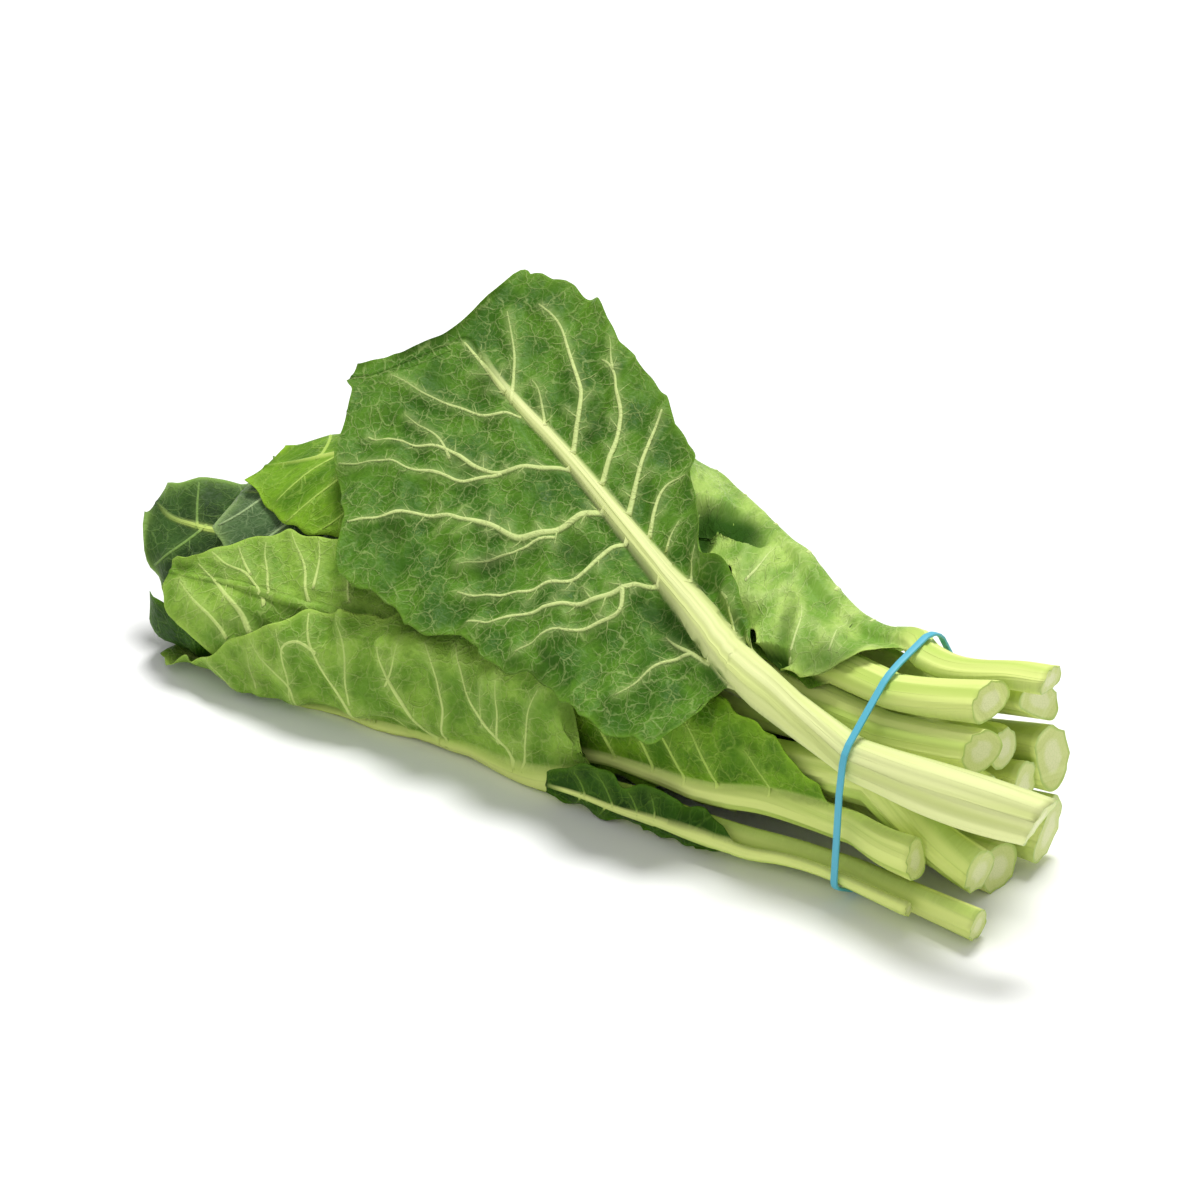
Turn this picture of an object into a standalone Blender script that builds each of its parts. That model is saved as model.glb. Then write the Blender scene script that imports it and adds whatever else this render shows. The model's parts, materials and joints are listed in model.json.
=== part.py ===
"""A tied bunch of collard greens lying on a surface: leaves laid one over another, stems and a rubber band.

The bunch lies along X, with the cut stems at +X and the leaf tips at -X. Its front is -Y.
Each leaf is described in sections across the bunch: at a distance x along it, a leaf takes a
stretch of the closed curve that the heap of leaves has there, at an angle round a central line.
Angles are in degrees from the front (-Y), positive over the top. Lengths are in millimetres.
The leaves are laid from the inside out, and each one is lifted clear of those already laid.
"""

import math
from typing import NamedTuple

import bmesh
import bpy
import numpy as np
from mathutils import Vector
from mathutils.geometry import intersect_ray_tri

MM = 0.001

# Leaf blades and their ribs
BLADE = 0.9
GAP = 0.8
STEM_SPACING = 24.0
RIB_STEPS = (0.0, 0.4, 0.7, 0.86, 0.94, 0.98, 1.0)
WING_STEPS = (0.0, 0.0, 0.02, 0.12, 0.38, 0.7, 1.0)
TOP_RIB_STEPS = (0.0, 0.35, 0.62, 0.8, 0.9, 0.95, 0.97, 0.99, 1.0)
TOP_WING_STEPS = (0.0, 0.0, 0.01, 0.06, 0.22, 0.41, 0.6, 0.8, 1.0)
RIB_TIP_WIDTH = 1.6
RIB_TIP_DEPTH = 0.5
RIB_INNER_SHARE = 0.35
FLARE = 1.25  # how much thicker a stem is at its cut end than under the band
NECK = 70.0
STEEPEST = 74.0

# The heap of leaves in section: the directions of its sides, and how far each lies from the central line
SIDES = (-90.0, 0.0, 62.0, 90.0, 130.0, 180.0, 235.0)
ROUNDING = 9.0
HEAP = (
    # x, line y, line z, then one distance for each side
    (100.0, 0.0, 42.0, 40.0, 34.0, 33.0, 43.0, 42.0, 36.0, 44.0),
    (0.0, 0.0, 42.0, 41.0, 36.0, 34.0, 44.0, 42.0, 36.0, 46.0),
    (-60.0, 4.0, 43.0, 43.0, 42.0, 37.0, 50.0, 49.0, 44.0, 52.0),
    (-110.0, 10.0, 45.0, 45.0, 52.0, 37.0, 57.0, 60.0, 58.0, 60.0),
    (-180.0, 18.0, 47.0, 47.0, 64.0, 35.0, 66.0, 82.0, 74.0, 70.0),
    (-250.0, 22.0, 48.0, 48.0, 76.0, 31.0, 50.0, 65.0, 78.0, 72.0),
    (-330.0, 12.0, 40.0, 38.0, 64.0, 29.0, 27.0, 38.0, 68.0, 60.0),
    (-385.0, 4.0, 34.0, 22.0, 32.0, 24.0, 24.0, 32.0, 46.0, 36.0),
)

# Rubber band round the stems
BAND_WIDTH = 3.0
BAND_THICKNESS = 1.2
BAND_CLEARANCE = 0.6
BAND_POINTS = 72

# The map that keeps how far out the laid leaves reach, and the points of a cell that are entered in it
MAP_X = (-440.0, 120.0)
MAP_STEP_X = 2.5
MAP_STEP_ANGLE = 1.5
FILL = 12
ACROSS = (np.arange(FILL) + 0.5) / FILL
U, V = np.meshgrid(ACROSS, ACROSS, indexing="ij")
SHARES = (1 - np.maximum(U, V), np.maximum(U - V, 0), np.maximum(V - U, 0), np.minimum(U, V))

# A leaf is lifted clear in several passes, by these shares of the height that it still lacks
EFFORTS = (0.5, 0.5, 0.7, 1.0, 1.0)
SMOOTHINGS = 3

# Where the bunch rests, ribs at least this thick are pressed flat by up to this depth
THICK = 2.6
REST_DEPTH = 0.9


class Leaf(NamedTuple):
    """One leaf, from its cut end to its tip."""

    name: str
    colour: tuple
    cut_x: float  # where the stem is cut
    cut: tuple  # angle and radius of the stem there
    tie: tuple  # angle and radius of the stem under the band
    stem: tuple  # width and depth of the stem
    level: tuple  # share of the heap's section that the blade lies at, at its base and at its tip
    blade: tuple  # rows of x, rib angle, reach to the low side, reach to the high side
    wave: tuple = (2.5, 46.0, 1.0)  # height, length and phase of the margin's waves
    curl: tuple = (0.0, 0.0, 0.0)  # lift of the low margin, the high margin and the tip
    plane: tuple = ()  # angle and distance of a flat side that replaces the heap's section
    steps: int = 13  # sections along the blade
    top: bool = False  # the large leaf on top, with a finer grid


LEAVES = (
    Leaf("left_tip_leaf", (0.13, 0.24, 0.09), 50.0, (18.0, 14.0), (64.0, 12.0), (17.0, 12.0), (0.44, 0.70),
         ((-80.0, 28.0, 6.0, 6.0), (-150.0, 30.0, 38.0, 18.0), (-240.0, 26.0, 48.0, 22.0),
          (-310.0, 20.0, 44.0, 30.0), (-340.0, 19.0, 30.0, 24.0), (-356.0, 26.0, 18.0, 14.0),
          (-363.0, 36.0, 5.0, 8.0)), (3.0, 38.0, 0.4), (2.0, 1.0, 1.5)),
    Leaf("heart_leaf", (0.16, 0.30, 0.07), 47.0, (92.0, 20.0), (150.0, 16.0), (16.0, 11.0), (0.44, 0.45),
         ((-70.0, 134.0, 6.0, 6.0), (-130.0, 124.0, 26.0, 26.0), (-200.0, 118.0, 32.0, 32.0),
          (-255.0, 114.0, 26.0, 26.0), (-280.0, 112.0, 5.0, 5.0))),
    Leaf("inner_back_leaf", (0.17, 0.32, 0.08), 46.0, (192.0, 13.0), (225.0, 13.0), (18.0, 14.0), (0.48, 0.60),
         ((-70.0, 210.0, 6.0, 6.0), (-130.0, 202.0, 36.0, 36.0), (-220.0, 196.0, 44.0, 48.0),
          (-290.0, 190.0, 30.0, 34.0), (-315.0, 188.0, 5.0, 5.0))),
    Leaf("grey_leaf", (0.15, 0.27, 0.12), 53.0, (55.0, 40.0), (54.0, 25.0), (15.0, 12.0), (0.50, 0.84),
         ((-80.0, 54.0, 8.0, 8.0), (-150.0, 62.0, 34.0, 56.0), (-240.0, 66.0, 52.0, 62.0),
          (-290.0, 66.0, 46.0, 50.0), (-314.0, 64.0, 36.0, 36.0), (-328.0, 60.0, 18.0, 16.0)),
         (2.0, 48.0, 0.9), (0.0, 0.0, 0.0)),
    Leaf("under_leaf", (0.16, 0.30, 0.08), 44.0, (269.0, 31.0), (270.0, 29.5), (18.0, 15.0), (0.66, 0.90),
         ((-60.0, 266.0, 8.0, 8.0), (-130.0, 264.0, 50.0, 34.0), (-230.0, 266.0, 64.0, 48.0),
          (-300.0, 268.0, 52.0, 72.0), (-330.0, 270.0, 40.0, 74.0), (-343.0, 274.0, 20.0, 66.0)),
         (2.0, 52.0, 0.7), (0.0, 2.0, 0.0)),
    Leaf("back_leaf", (0.17, 0.33, 0.08), 48.0, (172.0, 27.0), (184.0, 28.0), (20.0, 14.0), (0.76, 0.76),
         ((-65.0, 178.0, 5.0, 8.0), (-130.0, 174.0, 20.0, 40.0), (-220.0, 168.0, 26.0, 54.0),
          (-300.0, 166.0, 20.0, 44.0), (-330.0, 166.0, 14.0, 20.0), (-342.0, 166.0, 6.0, 6.0)),
         (3.0, 44.0, 1.4), (2.0, 2.0, 2.0)),
    Leaf("low_back_leaf", (0.17, 0.31, 0.08), 50.0, (224.0, 32.0), (227.0, 31.0), (20.0, 14.0), (0.88, 0.92),
         ((-65.0, 226.0, 8.0, 8.0), (-130.0, 227.0, 50.0, 34.0), (-220.0, 228.0, 60.0, 40.0),
          (-300.0, 226.0, 42.0, 34.0), (-338.0, 222.0, 8.0, 8.0)),
         (2.0, 48.0, 2.2), (1.0, 0.0, 1.0)),
    Leaf("curled_tip_leaf", (0.19, 0.38, 0.07), 47.0, (127.0, 34.0), (143.0, 31.0), (19.0, 11.0), (0.66, 0.74),
         ((-70.0, 138.0, 8.0, 8.0), (-140.0, 136.0, 40.0, 36.0), (-230.0, 126.0, 46.0, 50.0),
          (-290.0, 110.0, 34.0, 40.0), (-310.0, 102.0, 22.0, 26.0), (-326.0, 94.0, 9.0, 10.0)),
         (2.5, 36.0, 2.1), (1.0, 1.0, 2.0)),
    Leaf("front_inner_leaf", (0.33, 0.52, 0.17), 51.0, (-46.0, 29.0), (2.0, 22.0), (18.0, 14.0), (0.62, 0.90),
         ((-80.0, -16.0, 8.0, 8.0), (-140.0, -15.0, 34.0, 38.0), (-220.0, -8.0, 40.0, 36.0),
          (-272.0, -3.0, 38.0, 32.0), (-304.0, 0.0, 26.0, 24.0), (-320.0, 0.0, 16.0, 15.0),
          (-335.0, 0.0, 4.0, 4.0)), (1.6, 50.0, 2.6), (0.0, 1.5, 0.0), (), 16),
    Leaf("middle_front_leaf", (0.25, 0.42, 0.13), 34.0, (-17.0, 39.0), (-22.0, 34.0), (14.0, 11.0), (0.80, 0.86),
         ((-14.0, -25.0, 1.0, 4.0), (-50.0, -27.0, 2.0, 24.0), (-90.0, -29.0, 4.0, 40.0),
          (-130.0, -30.0, 8.0, 44.0), (-165.0, -29.0, 8.0, 30.0), (-186.0, -28.0, 4.0, 6.0)),
         (2.4, 26.0, 1.9), (0.0, 2.0, 0.0)),
    Leaf("front_outer_leaf", (0.28, 0.47, 0.14), 63.0, (-40.0, 52.0), (-45.5, 46.5), (13.0, 10.0), (0.84, 0.99),
         ((-122.0, -36.0, 3.0, 4.0), (-133.0, -36.0, 8.0, 22.0), (-144.0, -37.0, 12.0, 46.0),
          (-200.0, -37.0, 20.0, 54.0), (-255.0, -37.0, 30.0, 54.0), (-280.0, -37.0, 28.0, 43.0),
          (-300.0, -36.0, 26.0, 26.0), (-320.0, -36.0, 16.0, 13.0), (-335.0, -35.0, 5.0, 3.0)),
         (1.6, 54.0, 1.1), (-1.5, 1.0, 0.0), (), 17),
    Leaf("right_curled_leaf", (0.14, 0.30, 0.06), 50.0, (75.0, 44.0), (74.0, 35.0), (15.0, 10.0), (0.80, 0.90),
         ((-28.0, 78.0, 5.0, 5.0), (-60.0, 87.0, 7.0, 12.0), (-90.0, 98.0, 20.0, 22.0),
          (-125.0, 108.0, 32.0, 30.0), (-165.0, 113.0, 40.0, 38.0), (-205.0, 116.0, 34.0, 34.0),
          (-228.0, 118.0, 8.0, 8.0)), (2.0, 36.0, 0.2), (0.0, 8.0, 0.0), (), 15),
    Leaf("right_back_leaf", (0.17, 0.34, 0.07), 62.0, (101.0, 52.0), (103.5, 36.0), (14.0, 9.0), (0.86, 0.96),
         ((-6.0, 109.0, 5.0, 5.0), (-30.0, 112.0, 26.0, 18.0), (-60.0, 118.0, 32.0, 28.0),
          (-100.0, 132.0, 28.0, 40.0), (-150.0, 146.0, 34.0, 46.0), (-190.0, 152.0, 30.0, 34.0),
          (-214.0, 154.0, 8.0, 8.0)), (2.6, 30.0, 2.4), (2.0, 3.0, 0.0), (), 15),
    Leaf("low_small_leaf", (0.10, 0.25, 0.05), 36.0, (-32.0, 45.0), (-34.0, 44.0), (5.0, 4.0), (1.1, 1.1),
         ((-50.0, -33.0, 2.0, 2.0), (-75.0, -32.0, 5.0, 5.0), (-105.0, -32.0, 6.0, 10.0),
          (-126.0, -31.0, 7.0, 12.0), (-142.0, -31.0, 3.0, 4.0)), (1.4, 24.0, 0.3), (0.0, 0.0, 0.0)),
    Leaf("top_leaf", (0.14, 0.34, 0.06), 90.0, (28.0, 37.0), (27.0, 34.0), (15.0, 12.0), (1.0, 1.0),
         ((-62.0, 48.0, 4.0, 4.0), (-72.0, 52.0, 14.0, 8.0), (-86.0, 60.0, 44.0, 16.0),
          (-113.0, 76.0, 61.0, 20.0), (-136.0, 88.0, 67.0, 33.0), (-170.0, 102.0, 80.0, 43.0),
          (-197.0, 110.0, 86.0, 45.0), (-221.0, 115.0, 94.0, 45.0), (-247.0, 120.5, 104.0, 35.0),
          (-257.0, 123.0, 107.0, 38.0), (-266.0, 124.5, 97.0, 26.0), (-271.0, 123.0, 86.0, 4.0),
          (-284.0, 118.0, 54.0, 5.0), (-293.0, 114.0, 28.0, 5.0), (-302.0, 112.0, 4.0, 3.0)),
         (2.0, 44.0, 0.0), (0.0, 3.0, 0.0), (62.0, 36.0), 30, True),
)


def through(points, x):
    """Value at x of a smooth curve through the rows of points, whose first column is x."""
    table = np.array(sorted(points), dtype=float)
    knots, values = table[:, 0], table[:, 1:]
    slopes = np.gradient(values, knots, axis=0)
    x = np.clip(np.atleast_1d(np.asarray(x, dtype=float)), knots[0], knots[-1])
    i = np.clip(np.searchsorted(knots, x, side="right") - 1, 0, len(knots) - 2)
    step = (knots[i + 1] - knots[i])[:, None]
    t = ((x - knots[i]) / step[:, 0])[:, None]
    smooth = (values[i] * (1 + 2 * t) * (1 - t) ** 2 + slopes[i] * step * t * (1 - t) ** 2
              + values[i + 1] * t * t * (3 - 2 * t) + slopes[i + 1] * step * t * t * (t - 1))
    return smooth


def heap_radius(x, angles):
    """Radius of the heap's section at x, at each of the angles."""
    distances = through(HEAP, x)[0, 2:]
    facing = np.cos(np.radians(np.asarray(angles)[..., None] - np.array(SIDES)))
    total = np.sum(np.maximum(facing, 0.0) ** ROUNDING / distances ** ROUNDING, axis=-1)
    return total ** (-1.0 / ROUNDING)


def central_line(x):
    """Height and depth of the bunch's central line at x."""
    line = through(HEAP, x)[0, :2]
    return line[0], line[1]


def leaf_radius(leaf, x, angles):
    """Radius at which a leaf's blade would like to lie."""
    angles = np.asarray(angles, dtype=float)
    if leaf.plane:
        direction, distance = leaf.plane
        offset = np.clip(angles - direction, -STEEPEST, STEEPEST)
        line = central_line(x)
        start = central_line(0.0)
        shift = (line[0] - start[0]) * math.cos(math.radians(direction))
        drop = (line[1] - start[1]) * math.sin(math.radians(direction))
        return (distance + shift - drop) / np.cos(np.radians(offset))
    base, tip = leaf.blade[0][0], leaf.blade[-1][0]
    along = min(max((base - x) / (base - tip), 0.0), 1.0)
    return (leaf.level[0] + (leaf.level[1] - leaf.level[0]) * along) * heap_radius(x, angles)


def angles_along(leaf, x, middle, reaches):
    """Angles of the points that lie at the given distances from the rib, along the leaf's section."""
    fine = np.linspace(middle - 150.0, middle + 150.0, 601)
    radius = leaf_radius(leaf, x, fine)
    y, z = -radius * np.cos(np.radians(fine)), radius * np.sin(np.radians(fine))
    run = np.concatenate(([0.0], np.cumsum(np.hypot(np.diff(y), np.diff(z)))))
    run -= np.interp(middle, fine, run)
    return np.interp(reaches, run, fine)


def stations(leaf):
    """Distances along the bunch of a leaf's sections, from its cut end to its tip."""
    base, tip = leaf.blade[0][0], leaf.blade[-1][0]
    stem_count = max(4, round((leaf.cut_x - base) / STEM_SPACING))
    stem = np.linspace(leaf.cut_x, base, stem_count, endpoint=False)
    turn = np.linspace(0.0, 1.0, leaf.steps + 1)
    blade = base + (tip - base) * (0.6 * turn + 0.4 * np.sin(turn * math.pi / 2))
    return np.concatenate((stem, blade))


def mirrored(steps):
    """Steps from the rib outward, repeated with a minus sign for the low side."""
    steps = np.array(steps)
    return np.concatenate((-steps[:0:-1], steps))


def course(leaf, x):
    """Angle of a leaf's rib at x, and how far its blade reaches to the low and the high side."""
    base = leaf.blade[0][0]
    if x >= 0.0:
        return leaf.tie[0] + (leaf.cut[0] - leaf.tie[0]) * x / leaf.cut_x, 0.0, 0.0
    middle, low, high = through(((0.0, leaf.tie[0], 0.0, 0.0),) + leaf.blade, x)[0]
    if x >= base:
        return middle, 0.0, 0.0
    return middle, max(low, 0.0), max(high, 0.0)


def section(leaf, x, middle, reach):
    """Angles and radii of a leaf's section at x, for points at the given distances from its rib."""
    base = leaf.blade[0][0]
    stem_radius = leaf.tie[1] + (leaf.cut[1] - leaf.tie[1]) * max(x, 0.0) / leaf.cut_x
    lean = np.clip(-x / max(-base, NECK), 0.0, 1.0)
    lean = lean * lean * (3 - 2 * lean)
    round_stem = middle + np.degrees(reach / stem_radius)
    if lean == 0.0:
        return round_stem, np.full_like(round_stem, stem_radius)
    angles = round_stem + (angles_along(leaf, x, middle, reach) - round_stem) * lean
    return angles, stem_radius + (leaf_radius(leaf, x, angles) - stem_radius) * lean


def margin_lift(leaf, x, along, wings):
    """How far waves and curls lift the blade outward at x."""
    edge = np.abs(wings)
    height, length, phase = leaf.wave
    wave = height * edge ** 1.5 * math.sin(2 * math.pi * x / length + phase)
    curl = np.where(wings < 0, leaf.curl[0], leaf.curl[1]) * edge ** 3 + leaf.curl[2] * along ** 6
    return (np.where(wings < 0, wave, -0.7 * wave) + curl) * min(1.0, along * 4)


def shape(leaf):
    """Angles, wished radii and half thicknesses of a leaf's grid, one row for each station."""
    ribs = mirrored(TOP_RIB_STEPS if leaf.top else RIB_STEPS)
    wings = mirrored(TOP_WING_STEPS if leaf.top else WING_STEPS)
    base, tip = leaf.blade[0][0], leaf.blade[-1][0]
    xs = stations(leaf)
    rows = []
    for x in xs:
        along = np.clip((base - x) / (base - tip), 0.0, 1.0)
        width = RIB_TIP_WIDTH + (leaf.stem[0] - RIB_TIP_WIDTH) * (1 - along) ** 1.3
        depth = RIB_TIP_DEPTH + (leaf.stem[1] - RIB_TIP_DEPTH) * (1 - along) ** 1.5
        flare = 1 + (FLARE - 1) * max(x, 0.0) / leaf.cut_x
        width, depth = width * flare, depth * flare
        middle, low, high = course(leaf, x)
        reach = ribs * width / 2 + wings * np.where(wings < 0, low, high)
        angles, wish = section(leaf, x, middle, reach)
        bulge = depth * np.sqrt(np.maximum(0.0, 1 - np.minimum(1.0, np.abs(reach) / (width / 2)) ** 2))
        inward = BLADE / 2 + RIB_INNER_SHARE * bulge * (1 - along) ** 0.5
        outward = BLADE / 2 + (1 - RIB_INNER_SHARE) * bulge
        rows.append((angles, wish + margin_lift(leaf, x, along, wings), inward, outward,
                     np.abs(reach) <= width * 0.51))
    return (xs, *(np.array(field) for field in zip(*rows)))


def blur(field):
    """The field with each value averaged with its neighbours."""
    padded = np.pad(field, 1, mode="edge")
    return (padded[1:-1, 1:-1] * 2 + padded[:-2, 1:-1] + padded[2:, 1:-1]
            + padded[1:-1, :-2] + padded[1:-1, 2:]) / 6


def corners(field):
    """The field's values at the four corners of each cell of the grid."""
    return field[:-1, :-1], field[1:, :-1], field[:-1, 1:], field[1:, 1:]


def fill(field):
    """The field's values at points spread over the two triangles of each cell of the grid."""
    return sum(corner[..., None, None] * share for corner, share in zip(corners(field), SHARES))


def fill_round(angles, radii):
    """Angles and radii of points spread over the flat triangles between points given in that way."""
    across, up = fill(radii * np.cos(np.radians(angles))), fill(radii * np.sin(np.radians(angles)))
    return np.degrees(np.arctan2(up, across)), np.hypot(up, across)


class Reach:
    """How far out the leaves already laid reach, over distance and angle."""

    def __init__(self):
        self.columns = round((MAP_X[1] - MAP_X[0]) / MAP_STEP_X)
        self.turns = round(360.0 / MAP_STEP_ANGLE)
        self.outer = np.zeros((self.columns, self.turns))

    def cell(self, x, angle):
        """Row and column of the map at a distance and an angle."""
        row = np.clip(((x - MAP_X[0]) / MAP_STEP_X).astype(int), 0, self.columns - 1)
        return row, np.floor(angle / MAP_STEP_ANGLE).astype(int) % self.turns

    def add(self, x, angle, radius):
        """Enter points of a leaf's outer surface."""
        row, column = self.cell(x.ravel(), angle.ravel())
        np.maximum.at(self.outer, (row, column), radius.ravel())

    def under(self, x, angle):
        """Furthest reach within a step of each point."""
        wide = np.pad(self.outer, ((1, 1), (0, 0)))
        wide = np.maximum(np.maximum(wide[:-2], wide[1:-1]), wide[2:])
        wide = np.maximum(np.maximum(np.roll(wide, 1, axis=1), wide), np.roll(wide, -1, axis=1))
        return wide[self.cell(x, angle)]


def stiffen(push, rib):
    """The lifts, with one lift for the whole width of the rib in each section."""
    return np.where(rib, np.where(rib, push, 0.0).max(axis=1, keepdims=True), push)


def lay(leaf, reach):
    """A leaf's grid, lifted clear of the leaves already laid: distances, angles, inner and outer radii."""
    xs, angles, wish, inward, outward, rib = shape(leaf)
    along = fill(np.repeat(xs[:, None], angles.shape[1], axis=1))
    squares = sum(share * share for share in SHARES)
    push = np.zeros_like(wish)
    for effort in EFFORTS:
        turn, radius = fill_round(angles, wish + push - inward)
        short = np.maximum(reach.under(along, turn) + GAP - radius, 0.0)
        lift = np.zeros_like(push)
        for corner, share in zip(corners(lift), SHARES):
            np.maximum(corner, (short * share / squares).max(axis=(-1, -2)), out=corner)
        push = stiffen(push + effort * lift, rib)
    for _ in range(SMOOTHINGS):
        push = stiffen(np.maximum(push, blur(push)), rib)
    radii = wish + push
    reach.add(along, *fill_round(angles, radii + outward))
    return xs, angles, radii - inward, radii + outward, rib


def place(x, angle, radius):
    """World position, in millimetres, of a point at a distance, an angle and a radius."""
    y, z = central_line(x)
    turn = math.radians(angle)
    return Vector((x, y - radius * math.cos(turn), z + radius * math.sin(turn)))


def leaf_mesh(grid):
    """Closed mesh of a leaf: the outer sheet, the inner sheet and the rim between them."""
    xs, angles, inner, outer, rib = grid
    rows, columns = angles.shape
    bm = bmesh.new()
    thick = bm.verts.layers.int.new("rib")
    sheets = []
    for radii in (outer, inner):
        sheets.append([[bm.verts.new(place(xs[s], angles[s, c], radii[s, c])) for c in range(columns)]
                       for s in range(rows)])
    for s, c in np.argwhere(rib & (outer - inner > THICK)):
        sheets[0][s][c][thick] = 1
    top, under = sheets
    for s in range(rows - 1):
        for c in range(columns - 1):
            bm.faces.new((top[s][c], top[s][c + 1], top[s + 1][c + 1]))
            bm.faces.new((top[s][c], top[s + 1][c + 1], top[s + 1][c]))
            bm.faces.new((under[s][c], under[s + 1][c + 1], under[s][c + 1]))
            bm.faces.new((under[s][c], under[s + 1][c], under[s + 1][c + 1]))
        for c in (0, columns - 1):
            bm.faces.new((top[s][c], top[s + 1][c], under[s + 1][c], under[s][c]))
    for s in (0, rows - 1):
        for c in range(columns - 1):
            bm.faces.new((top[s][c], top[s][c + 1], under[s][c + 1], under[s][c]))
    bmesh.ops.triangulate(bm, faces=[face for face in bm.faces if len(face.verts) > 3])
    bmesh.ops.recalc_face_normals(bm, faces=bm.faces)
    return bm


def mass_centre(meshes):
    """Centre of mass of closed meshes."""
    total, moment = 0.0, Vector()
    for bm in meshes:
        for loops in bm.calc_loop_triangles():
            a, b, c = (loop.vert.co for loop in loops)
            volume = a.dot(b.cross(c)) / 6
            total += volume
            moment += (a + b + c) * volume / 4
    return moment / total


def level(meshes):
    """Tilt and lower everything by a little, so that it stands on three low ribs round its weight."""
    centre = mass_centre(meshes)
    hull = bmesh.new()
    for bm in meshes:
        thick = bm.verts.layers.int["rib"]
        for vert in bm.verts:
            hull.verts.new(vert.co + Vector((0.0, 0.0, REST_DEPTH * vert[thick])))
    bmesh.ops.convex_hull(hull, input=hull.verts)
    below = centre - Vector((0.0, 0.0, 1000.0))
    for face in hull.faces:
        a, b, c = (vert.co.copy() for vert in face.verts)
        if face.normal.z < 0 and intersect_ray_tri(a, b, c, Vector((0, 0, 1)), below):
            normal = face.normal.copy()
            break
    hull.free()
    for bm in meshes:
        thick = bm.verts.layers.int["rib"]
        for vert in bm.verts:
            foot = a.z - ((vert.co - a).xy.dot(normal.xy)) / normal.z
            vert.co.z = max(0.0, vert.co.z - foot) if vert[thick] else vert.co.z - foot


def material(name, colour, roughness):
    """A plain Principled material."""
    made = bpy.data.materials.new(name)
    made.use_nodes = True
    shader = made.node_tree.nodes["Principled BSDF"]
    shader.inputs["Base Color"].default_value = (*colour, 1.0)
    shader.inputs["Roughness"].default_value = roughness
    shader.inputs["Metallic"].default_value = 0.0
    made.diffuse_color = (*colour, 1.0)
    return made


def make_object(bm, name, finish, collection, shift):
    """An object of a mesh in millimetres, moved by shift and put in metres."""
    for vert in bm.verts:
        vert.co = (vert.co + shift) * MM
    mesh = bpy.data.meshes.new(name)
    bm.to_mesh(mesh)
    bm.free()
    mesh.materials.append(finish)
    mesh.shade_smooth()
    mesh.set_sharp_from_angle(angle=math.radians(50.0))
    made = bpy.data.objects.new(name, mesh)
    collection.objects.link(made)
    return made


def band_mesh(meshes):
    """The rubber band: a strip round the stems where they are tied, as an open surface."""
    flat = []
    for bm in meshes:
        cut = bm.copy()
        for plane_x in (-BAND_WIDTH, 0.0, BAND_WIDTH):
            found = bmesh.ops.bisect_plane(cut, geom=cut.verts[:] + cut.edges[:] + cut.faces[:],
                                           plane_co=(plane_x, 0, 0), plane_no=(1, 0, 0))
            flat += [v.co.yz for v in found["geom_cut"] if isinstance(v, bmesh.types.BMVert)]
        cut.free()
    centre = sum(flat, Vector((0.0, 0.0))) / len(flat)
    ring = []
    for turn in np.linspace(0.0, 2 * math.pi, BAND_POINTS, endpoint=False):
        way = Vector((math.cos(turn), math.sin(turn)))
        ring.append((way, max((p - centre).dot(way) for p in flat) + BAND_CLEARANCE + BAND_THICKNESS / 2))
    bm = bmesh.new()
    loops = []
    for x in (-BAND_WIDTH / 2, BAND_WIDTH / 2):
        loop = []
        for (way, far), (after, next_far) in zip(ring, ring[1:] + ring[:1]):
            sine = way.x * after.y - way.y * after.x
            y = (far * after.y - next_far * way.y) / sine
            z = (next_far * way.x - far * after.x) / sine
            loop.append(bm.verts.new((x, centre.x + y, centre.y + z)))
        loops.append(loop)
    for i in range(BAND_POINTS):
        j = (i + 1) % BAND_POINTS
        bm.faces.new((loops[0][i], loops[0][j], loops[1][j], loops[1][i]))
    return bm


def main():
    """Make the bunch."""
    for old in list(bpy.data.objects):
        bpy.data.objects.remove(old)
    collection = bpy.data.collections.new("bunch_of_collard_greens")
    bpy.context.scene.collection.children.link(collection)
    reach = Reach()
    meshes = [leaf_mesh(lay(leaf, reach)) for leaf in LEAVES]
    level(meshes)
    band = band_mesh(meshes)
    points = np.array([vert.co for bm in meshes for vert in bm.verts])
    low, high = points.min(axis=0), points.max(axis=0)
    shift = Vector((-(low[0] + high[0]) / 2, -(low[1] + high[1]) / 2, 0.0))
    for leaf, bm in zip(LEAVES, meshes):
        make_object(bm, leaf.name, material(leaf.name + "_green", leaf.colour, 0.5), collection, shift)
    tie = make_object(band, "rubber_band", material("band_blue", (0.16, 0.52, 0.72), 0.45), collection, shift)
    wall = tie.modifiers.new("thickness", "SOLIDIFY")
    wall.thickness = BAND_THICKNESS * MM
    wall.offset = 0.0


main()
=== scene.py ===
"""Dresses a bunch of collard greens that lies on its side: veined leaves, cut stems and a rubber band.

The leaves take the places that they have in the solids. The same sections across the bunch are worked
out here on a finer grid. Then come fields that swell between the veins, waved margins, hollows darkened
with painted shade, and the veins as thin raised strips on both faces of a blade. Lengths are in
millimetres and angles in degrees until a mesh is made, which is in metres.
"""

import json
import logging
import math
from dataclasses import dataclass, field
from enum import Enum

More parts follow.
